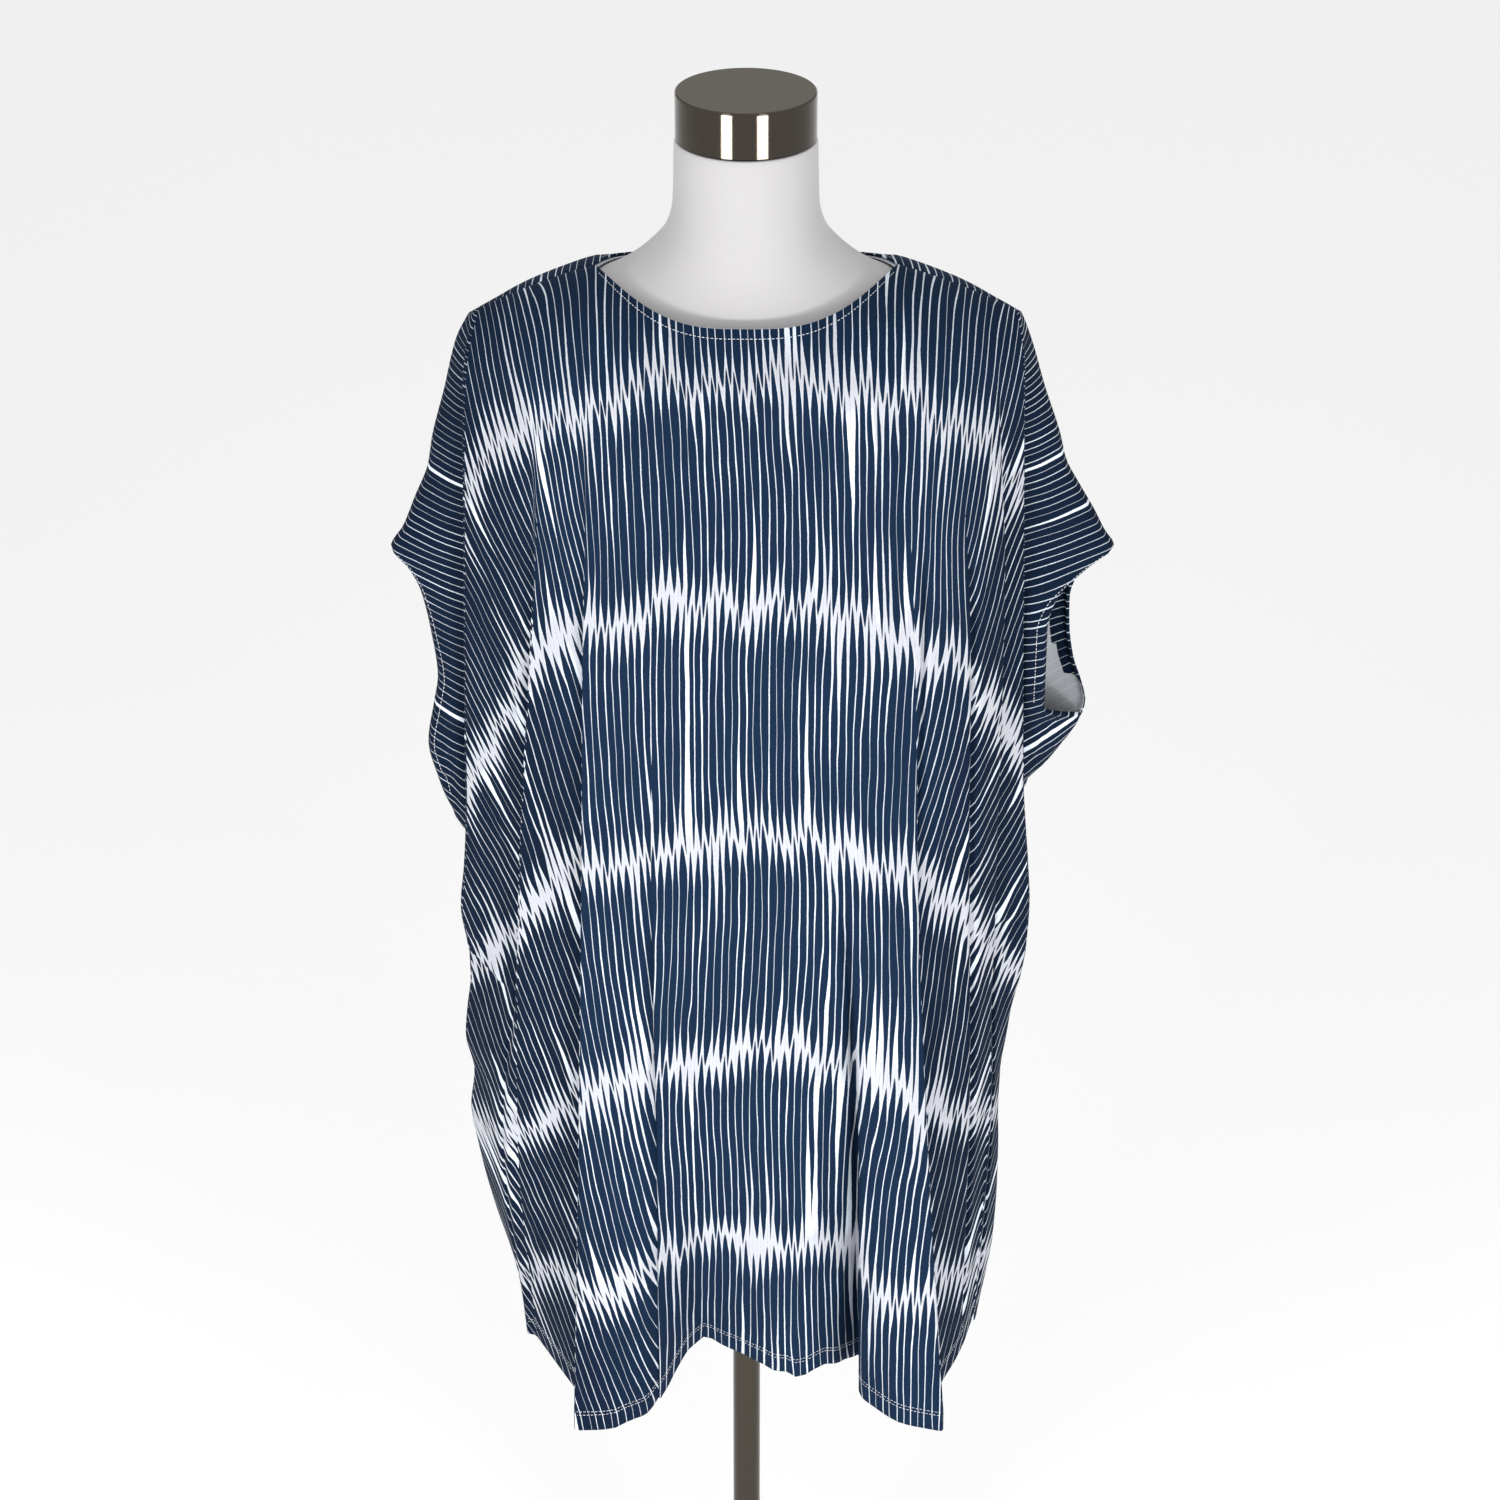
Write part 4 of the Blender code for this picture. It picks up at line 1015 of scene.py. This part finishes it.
class Tree:
    """A material's node tree, with short calls for the nodes that repeat."""

    def __init__(self, name, roughness, metallic=0.0):
        self.material = bpy.data.materials.new(name)
        self.material.use_nodes = True
        self.nodes = self.material.node_tree.nodes
        self.links = self.material.node_tree.links
        self.shader = self.nodes["Principled BSDF"]
        self.shader.inputs["Roughness"].default_value = roughness
        self.shader.inputs["Metallic"].default_value = metallic

    def put(self, socket, value):
        """Links an output to a socket, or sets the socket to a plain value."""
        if isinstance(value, bpy.types.NodeSocket):
            self.links.new(value, socket)
        else:
            socket.default_value = value

    def math(self, operation, *values):
        node = self.nodes.new("ShaderNodeMath")
        node.operation = operation
        for socket, value in zip(node.inputs, values):
            self.put(socket, value)
        return node.outputs[0]

    def plus(self, first, second):
        return self.math("ADD", first, second)

    def minus(self, first, second):
        return self.math("SUBTRACT", first, second)

    def times(self, first, second):
        return self.math("MULTIPLY", first, second)

    def over(self, first, second):
        return self.math("DIVIDE", first, second)

    def vector(self, x, y, z=0.0):
        node = self.nodes.new("ShaderNodeCombineXYZ")
        for socket, value in zip(node.inputs, (x, y, z)):
            self.put(socket, value)
        return node.outputs[0]

    def noise(self, place, scale, detail=2.0):
        """Noise from 0 to 1 at a place, with scale features to the metre."""
        node = self.nodes.new("ShaderNodeTexNoise")
        self.put(node.inputs["Vector"], place)
        node.inputs["Scale"].default_value = scale
        node.inputs["Detail"].default_value = detail
        return node.outputs["Fac"]

    def shift(self, place, shift):
        """A random shift at each place, as far to one side as to the other."""
        return self.times(self.minus(self.noise(place, shift.scale, shift.detail), 0.5), shift.reach)

    def dice(self, place):
        """A random number from 0 to 1 for each whole-numbered place."""
        node = self.nodes.new("ShaderNodeTexWhiteNoise")
        self.put(node.inputs["Vector"], place)
        return node.outputs["Value"]

    def range(self, value, low, high, to_low=0.0, to_high=1.0):
        node = self.nodes.new("ShaderNodeMapRange")
        for socket, entry in zip(node.inputs, (value, low, high, to_low, to_high)):
            self.put(socket, entry)
        return node.outputs[0]

    def mix(self, share, first, second):
        node = self.nodes.new("ShaderNodeMix")
        node.data_type = "RGBA"
        self.put(node.inputs[0], share)
        self.put(node.inputs[6], first)
        self.put(node.inputs[7], second)
        return node.outputs[2]

    def bump(self, height, strength, distance):
        node = self.nodes.new("ShaderNodeBump")
        node.inputs["Strength"].default_value = strength
        node.inputs["Distance"].default_value = distance
        self.put(node.inputs["Height"], height)
        self.links.new(node.outputs[0], self.shader.inputs["Normal"])


# The print on the flat cloth. Widths across the stripes are shares of their step, and the white lines between
# them are thinner at some places than at others, and thinner towards the sides as painted shade
STRIPE_STEP = 6.1 * MM
LINE_HALF = 0.058
LINE_LEAST = 0.45
LINE_MOST = 1.45
LINE_SEED = 3.0
THIN_SCALE = 12
THIN_NOISE = (0.3, 0.7)
THIN_LEAST = 0.5
THIN_MOST = 1.4
LINE_SHADE_START = 130 * MM
LINE_SHADE_END = 220 * MM
LINE_SHADE = 0.60
FULL_HALF = 0.52
NEEDLE_POWER = 0.7
EDGE_BLUR = 0.025

# Points of the stripes at the bands: how long they are, how far past the band's middle they reach, how far
# the band jumps up and down from stripe to stripe, and how its gap changes along it
TAPER = 28 * MM
TAPER_SPREAD = 24 * MM
SLIM_SHARE = 0.07
SLIM_TAPER = 75 * MM
TIP_MIDDLE = 2 * MM
TIP_SPREAD = 16 * MM
TIP_LIMIT = 7 * MM
END_SEED = 3
END_SEED_STEP = 7
JAG_SPREAD = 74 * MM
JAG_STEP = 0.24
JAG_ROW = 7.3
JAG_DETAIL = 2.5
GAP_SPREAD = 26 * MM
GAP_STEP = 0.7
GAP_ROW = 3.1
GAP_SEED = 5.0
GAP_DETAIL = 1.0
# In the top band the points reach further, below the first of these places and in full above the second
TOP_BAND_PLACES = (-1.5 * BAND_STEP, -1.25 * BAND_STEP)
TOP_BAND_CLOSER = 5 * MM

# A few white lines widen into wedges towards a band
WEDGE_SHARE = 0.07
WEDGE_TAPER = 60 * MM
WEDGE_SPREAD = 90 * MM
WEDGE_HALF = 0.60
WEDGE_LEAST = 0.4
WEDGE_POWER = 1.2
WEDGE_SEEDS = (11, 17)

# Random shifts of the whole print: features to the metre, their detail, and how far they reach in all
Shift = namedtuple("Shift", "scale detail reach")
LEAN = Shift(4, 0.0, 26 * MM)
WOBBLE = Shift(30, 2.0, 1.3 * MM)
RAGGED = Shift(520, 2.0, 0.45 * MM)
UNEVEN = Shift(125, 0.0, 3.0 * MM)
UNEVEN_ALONG = 0.12
DRIFT = Shift(7, 0.0, 30 * MM)

# Colours, and how the navy darkens towards the sides as painted shade, and deepens in clouds of tone
NAVY = (0.0050, 0.0175, 0.0455, 1)
# Darker navy: painted shade towards the sides, and the cloth's own clouds of tone
NAVY_SHADE_AND_CLOUDS = (0.0024, 0.0086, 0.0240, 1)
SIDE_SHADE_START = 165 * MM
SIDE_SHADE_END = 235 * MM
SIDE_SHADE = 0.75
DEEP_CLOUDS = 0.35
CLOUD_SCALE = 14
CLOUD_DETAIL = 3.0
CLOTH_WHITE = (0.48, 0.49, 0.535, 1)
LINE_WHITE = (0.68, 0.74, 0.82, 1)
LINE_FULL = (0.3, 0.9)
WRONG_SIDE = (0.68, 0.71, 0.74, 1)
SHOWS_THROUGH = 0.30
TURNED_EDGE = (0.45, 0.55)

# Surface of the printed jersey: its knit as waves and its crumple as noise, and the bump of both together
JERSEY_ROUGHNESS = 0.82
JERSEY_SHINE = 0.08
KNIT_WAVES = 260.0
KNIT_UNEVEN = 1.5
CRUMPLE_SCALE = 60
CRUMPLE_DETAIL = 3.0
CRUMPLE_SHARE = 2.0
JERSEY_BUMP = 0.25
JERSEY_RELIEF = 0.4 * MM


def wedge(tree, line, zone, beyond, seed):
    """How much wider a white line gets towards one end of its zone: nothing for most lines."""
    rare = tree.math("LESS_THAN", tree.dice(tree.vector(seed, line, zone)), WEDGE_SHARE)
    own = tree.dice(tree.vector(zone, seed, line))
    length = tree.math("MULTIPLY_ADD", own, WEDGE_SPREAD, WEDGE_TAPER)
    share = tree.math("MAXIMUM", tree.plus(tree.over(beyond, length), 1.0), 0.0)
    width = tree.dice(tree.vector(line, zone, seed))
    half = tree.range(width, 0.0, 1.0, WEDGE_LEAST * WEDGE_HALF, WEDGE_HALF)
    return tree.times(tree.math("POWER", share, WEDGE_POWER), tree.times(rare, half))


def stripes(tree, u, v, thin, closer, parity):
    """1 inside the navy stripes of every second zone between bands, and how full the stripes are there.

    Each stripe ends in two points of its own, and some of the white lines between stripes widen into wedges.
    """
    across = tree.plus(tree.over(u, STRIPE_STEP), 0.5 * parity)
    line = tree.math("FLOOR", tree.plus(across, 0.5))
    stripe = tree.math("FLOOR", across)
    from_line = tree.math("ABSOLUTE", tree.minus(across, line))
    from_middle = tree.math("ABSOLUTE", tree.minus(tree.minus(across, stripe), 0.5))
    turns = tree.plus(tree.over(v, 2 * BAND_STEP), 0.25 + 0.5 * parity)
    zone = tree.math("FLOOR", tree.plus(turns, 0.5))
    local = tree.times(tree.minus(turns, zone), 2 * BAND_STEP)
    beyond = tree.minus(tree.math("ABSOLUTE", local), BAND_STEP / 2)
    upward = tree.math("SIGN", local)
    end = tree.plus(upward, END_SEED_STEP * parity + END_SEED)
    band = tree.math("ROUND", tree.over(v, BAND_STEP))
    place = tree.times(tree.minus(stripe, 0.5 * parity), JAG_STEP)
    jag = tree.noise(tree.vector(place, tree.times(band, JAG_ROW)), 1, JAG_DETAIL)
    jag = tree.times(tree.minus(jag, 0.5), tree.times(upward, JAG_SPREAD))
    own = tree.minus(tree.dice(tree.vector(stripe, zone, end)), 0.5)
    slim = tree.math("LESS_THAN", tree.dice(tree.vector(zone, end, stripe)), SLIM_SHARE)
    along_band = tree.vector(tree.times(place, GAP_STEP), tree.times(band, GAP_ROW), GAP_SEED)
    gap = tree.noise(along_band, 1, GAP_DETAIL)
    tip = tree.math("MULTIPLY_ADD", tree.minus(gap, 0.5), GAP_SPREAD, closer)
    tip = tree.plus(tip, tree.math("MULTIPLY_ADD", own, TIP_SPREAD, TIP_MIDDLE))
    tip = tree.plus(tree.math("MINIMUM", tip, TIP_LIMIT), jag)
    taper = tree.math("MULTIPLY_ADD", tree.dice(tree.vector(zone, stripe, end)), TAPER_SPREAD, TAPER)
    taper = tree.math("MULTIPLY_ADD", slim, SLIM_TAPER, taper)
    left = tree.over(tree.minus(tip, beyond), taper)
    left = tree.math("MINIMUM", tree.math("MAXIMUM", left, 0.0), 1.0)
    needle = tree.times(tree.math("POWER", left, NEEDLE_POWER), FULL_HALF)
    upper = wedge(tree, line, zone, tree.minus(local, BAND_STEP / 2), WEDGE_SEEDS[0] + parity)
    lower = wedge(tree, line, zone, tree.minus(-BAND_STEP / 2, local), WEDGE_SEEDS[1] + parity)
    width = tree.dice(tree.vector(line, zone, LINE_SEED))
    own_line = tree.range(width, 0.0, 1.0, LINE_LEAST, LINE_MOST)
    line_half = tree.math("MULTIPLY_ADD", thin, own_line, tree.plus(upper, lower))
    inside = tree.range(tree.minus(from_line, line_half), -EDGE_BLUR, EDGE_BLUR)
    in_needle = tree.range(tree.minus(needle, from_middle), -EDGE_BLUR, EDGE_BLUR)
    return tree.times(inside, in_needle), left


def printed(tree):
    """The colour of the printed face, how navy it is at each place, and the place on the flat cloth."""
    uv = tree.nodes.new("ShaderNodeUVMap")
    uv.uv_map = "cloth"
    place = uv.outputs[0]
    parts = tree.nodes.new("ShaderNodeSeparateXYZ")
    tree.links.new(place, parts.inputs[0])
    x = parts.outputs[0]
    y = parts.outputs[1]
    stretched = tree.vector(x, tree.times(y, UNEVEN_ALONG))
    wobble = tree.plus(tree.shift(place, WOBBLE), tree.shift(stretched, UNEVEN))
    u = tree.plus(tree.plus(x, tree.shift(place, LEAN)), tree.plus(wobble, tree.shift(place, RAGGED)))
    v = tree.plus(y, tree.shift(tree.vector(x, 0.0), DRIFT))
    thin = tree.noise(place, THIN_SCALE, 2.0)
    thin = tree.range(thin, *THIN_NOISE, THIN_LEAST * LINE_HALF, THIN_MOST * LINE_HALF)
    from_middle = tree.math("ABSOLUTE", x)
    # Painted shade: the white lines thin towards the sides, which darkens them
    thin = tree.times(thin, tree.range(from_middle, LINE_SHADE_START, LINE_SHADE_END, 1.0, LINE_SHADE))
    closer = tree.range(v, *TOP_BAND_PLACES, 0.0, TOP_BAND_CLOSER)
    even_navy, even_full = stripes(tree, u, v, thin, closer, 0)
    odd_navy, odd_full = stripes(tree, u, v, thin, closer, 1)
    navy_share = tree.math("MAXIMUM", even_navy, odd_navy)
    full = tree.math("MAXIMUM", even_full, odd_full)
    white = tree.mix(tree.range(full, *LINE_FULL), CLOTH_WHITE, LINE_WHITE)
    # Painted shade: the navy darkens towards the sides; the clouds are the cloth's own uneven tone
    deep = tree.range(from_middle, SIDE_SHADE_START, SIDE_SHADE_END, 0.0, SIDE_SHADE)
    deep = tree.math("MULTIPLY_ADD", tree.noise(place, CLOUD_SCALE, CLOUD_DETAIL), DEEP_CLOUDS, deep)
    return tree.mix(navy_share, white, tree.mix(deep, NAVY, NAVY_SHADE_AND_CLOUDS)), navy_share, place


def jersey(name, wrong_side):
    """Printed jersey: the printed face, or its wrong side, where the print only shows through."""
    tree = Tree(name, JERSEY_ROUGHNESS)
    face, navy_share, place = printed(tree)
    if wrong_side:
        inside = tree.mix(tree.times(navy_share, SHOWS_THROUGH), WRONG_SIDE, NAVY)
        turned = tree.nodes.new("ShaderNodeAttribute")
        turned.attribute_name = "turned"
        face = tree.mix(tree.range(turned.outputs["Fac"], *TURNED_EDGE), inside, face)
    tree.put(tree.shader.inputs["Base Color"], face)
    tree.shader.inputs["Specular IOR Level"].default_value = JERSEY_SHINE
    knit = tree.nodes.new("ShaderNodeTexWave")
    knit.inputs["Scale"].default_value = KNIT_WAVES
    knit.inputs["Distortion"].default_value = KNIT_UNEVEN
    tree.links.new(place, knit.inputs["Vector"])
    crumple = tree.times(tree.noise(place, CRUMPLE_SCALE, CRUMPLE_DETAIL), CRUMPLE_SHARE)
    tree.bump(tree.plus(knit.outputs["Fac"], crumple), JERSEY_BUMP, JERSEY_RELIEF)
    return tree.material


# Plain jersey: its clouds of tone, fine stitches and crumple, in features to the metre, and their bump
PLAIN_CLOUDS = 9
PLAIN_STITCHES = 900
PLAIN_CRUMPLE = 60
PLAIN_BUMP = 0.2
PLAIN_RELIEF = 0.3 * MM
PLAIN_SHEEN = 0.15
PLAIN_SHINE = 0.2


def plain_jersey(name, colour, shade, roughness):
    """Plain knitted cloth, with its fine stitches as bump and a little change of tone."""
    tree = Tree(name, roughness)
    where = tree.nodes.new("ShaderNodeTexCoord").outputs["Object"]
    clouds = tree.noise(where, PLAIN_CLOUDS, CLOUD_DETAIL)
    tree.put(tree.shader.inputs["Base Color"], tree.mix(clouds, colour, shade))
    tree.shader.inputs["Sheen Weight"].default_value = PLAIN_SHEEN
    tree.shader.inputs["Specular IOR Level"].default_value = PLAIN_SHINE
    fine = tree.noise(where, PLAIN_STITCHES)
    tree.bump(tree.plus(fine, tree.noise(where, PLAIN_CRUMPLE)), PLAIN_BUMP, PLAIN_RELIEF)
    return tree.material


# How much closer the brushed lines lie than plain noise, how the roughness changes from line to line, and
# how far a highlight is drawn out across the lines
BRUSH_LINES = 40.0
BRUSH_SCALE = 60
BRUSH_DETAIL = 3.0
BRUSH_NOISE = (0.2, 0.8)
BRUSH_SMOOTHER = 0.05
BRUSH_ROUGHER = 0.07
BRUSH_BUMP = 0.15
BRUSH_RELIEF = 0.05 * MM
BRUSH_STRETCH = 0.85
BRUSH_TURN = 0.25


def brushed_metal(name, colour, shade, roughness, around):
    """Brushed metal, its fine lines running round the Z axis, or across a flat top."""
    tree = Tree(name, roughness, 1.0)
    where = tree.nodes.new("ShaderNodeTexCoord").outputs["Object"]
    parts = tree.nodes.new("ShaderNodeSeparateXYZ")
    tree.links.new(where, parts.inputs[0])
    if around:
        lines = tree.vector(0.0, 0.0, tree.times(parts.outputs[2], BRUSH_LINES))
    else:
        squares = [tree.math("POWER", parts.outputs[axis], 2.0) for axis in (0, 1)]
        radius = tree.math("SQRT", tree.plus(*squares))
        lines = tree.vector(tree.times(radius, BRUSH_LINES), 0.0)
    brushed = tree.noise(lines, BRUSH_SCALE, BRUSH_DETAIL)
    rough = tree.range(brushed, *BRUSH_NOISE, roughness - BRUSH_SMOOTHER, roughness + BRUSH_ROUGHER)
    tree.put(tree.shader.inputs["Base Color"], tree.mix(brushed, colour, shade))
    tree.put(tree.shader.inputs["Roughness"], rough)
    tree.bump(brushed, BRUSH_BUMP, BRUSH_RELIEF)
    if around:
        tree.shader.inputs["Anisotropic"].default_value = BRUSH_STRETCH
        tree.shader.inputs["Anisotropic Rotation"].default_value = BRUSH_TURN
        tangent = tree.nodes.new("ShaderNodeTangent")
        tangent.direction_type = "RADIAL"
        tangent.axis = "Z"
        tree.links.new(tangent.outputs[0], tree.shader.inputs["Tangent"])
    return tree.material


def make_camera():
    data = bpy.data.cameras.new("camera")
    data.lens = CAMERA_LENS
    data.sensor_width = CAMERA_FILM
    camera = bpy.data.objects.new("camera", data)
    camera.location = CAMERA_PLACE
    camera.rotation_euler = (np.radians(90 - CAMERA_PITCH), 0, 0)
    bpy.context.scene.collection.objects.link(camera)
    bpy.context.scene.camera = camera


def make_light(side, lamp):
    """A soft box on one side, aimed at a height above the middle of the stand."""
    data = bpy.data.lights.new(lamp.name + "_" + side, "AREA")
    data.shape = "RECTANGLE"
    data.size = lamp.width
    data.size_y = lamp.height
    data.energy = lamp.power
    light = bpy.data.objects.new(data.name, data)
    turn = np.radians(LAMP_TURNS[side])
    light.location = (LAMP_DISTANCE * np.sin(turn), -LAMP_DISTANCE * np.cos(turn), lamp.z)
    tilt = np.arctan2(lamp.z - lamp.aim_z, LAMP_DISTANCE)
    light.rotation_euler = (np.pi / 2 - tilt, 0, turn)
    bpy.context.scene.collection.objects.link(light)


def make_stage():
    """A wide pale floor and plain soft light."""
    tree = Tree("pale_floor", FLOOR_ROUGHNESS)
    tree.shader.inputs["Base Color"].default_value = FLOOR_COLOUR
    tree.shader.inputs["Specular IOR Level"].default_value = FLOOR_SHINE
    bpy.ops.mesh.primitive_plane_add(size=FLOOR_SIZE, location=(0, 0, 0))
    floor = bpy.context.object
    floor.name = "floor"
    floor.data.materials.append(tree.material)
    world = bpy.data.worlds.new("studio")
    world.use_nodes = True
    nodes = world.node_tree.nodes
    links = world.node_tree.links
    direction = nodes.new("ShaderNodeSeparateXYZ")
    links.new(nodes.new("ShaderNodeTexCoord").outputs["Generated"], direction.inputs[0])
    dome = nodes.new("ShaderNodeValToRGB")
    links.new(direction.outputs[2], dome.inputs[0])
    elements = dome.color_ramp.elements
    elements[-1].position = SKY[-1][0]
    for place, _tone in SKY[1:-1]:
        elements.new(place)
    for element, (_place, tone) in zip(elements, SKY):
        element.color = (tone, tone, tone, 1)
    links.new(dome.outputs[0], nodes["Background"].inputs["Color"])
    bpy.context.scene.world = world
    for side in LAMP_TURNS:
        for lamp in LAMPS:
            make_light(side, lamp)
    bpy.context.scene.view_settings.view_transform = "Standard"


# Colour and shade of each plain jersey and each metal
BINDING_TONES = ((0.52, 0.55, 0.60, 1), (0.44, 0.47, 0.53, 1))
FORM_TONES = ((0.47, 0.46, 0.465, 1), (0.445, 0.435, 0.445, 1))
THREAD_TONES = ((0.80, 0.80, 0.82, 1), (0.70, 0.71, 0.75, 1))
# Painted dark reflection: the cap's and pole's metal is darkened, its side more than its top, to stand in for
# dark surroundings in its reflections
SIDE_PAINTED_DARK_TONES = ((0.042, 0.035, 0.028, 1), (0.100, 0.088, 0.073, 1))
TOP_PAINTED_DARK_TONES = ((0.128, 0.115, 0.092, 1), (0.175, 0.158, 0.128, 1))
BASE_TONES = ((0.24, 0.22, 0.18, 1), (0.32, 0.29, 0.25, 1))

make_camera()
make_stage()

face_look = jersey("printed_face", wrong_side=False)
wrong_look = jersey("printed_wrong_side", wrong_side=True)
binding_look = plain_jersey("pale_binding", *BINDING_TONES, roughness=0.85)
form_look = plain_jersey("white_cover", *FORM_TONES, roughness=0.8)
thread_look = plain_jersey("white_thread", *THREAD_TONES, roughness=0.7)
# The cap's side and top are one metal, darkened as painted dark reflection, the side more than the top
painted_dark_metal_side = brushed_metal("brushed_side_painted_dark", *SIDE_PAINTED_DARK_TONES, roughness=0.11, around=True)
painted_dark_metal_top = brushed_metal("brushed_top_painted_dark", *TOP_PAINTED_DARK_TONES, roughness=0.45, around=False)
base_look = brushed_metal("brushed_base", *BASE_TONES, roughness=0.42, around=False)

front, front_points = make_sheet("dress_front", FRONT, (face_look, wrong_look))
back, back_points = make_sheet("dress_back", BACK, (face_look, wrong_look))
binding = make_binding((front_points, back_points), binding_look)
front_stitches = make_stitches("front_stitches", FRONT, front_points, thread_look)
back_stitches = make_stitches("back_stitches", BACK, back_points, thread_look)
form = make_form(form_look)
cap = make_turned("cap_shell", CAP_PROFILE, painted_dark_metal_side)
cap.data.materials.append(painted_dark_metal_top)
for polygon in cap.data.polygons:
    if polygon.center.z > CAP_TOP_Z:
        polygon.material_index = 1
pole = make_turned("pole_tube", POLE_PROFILE, painted_dark_metal_side, sides=64)
base = make_turned("base_disc", BASE_PROFILE, base_look)

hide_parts("front")
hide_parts("back")
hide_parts("neck_binding")
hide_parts("form_body")
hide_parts("form_cap")
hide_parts("stand_pole")
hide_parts("stand_base")
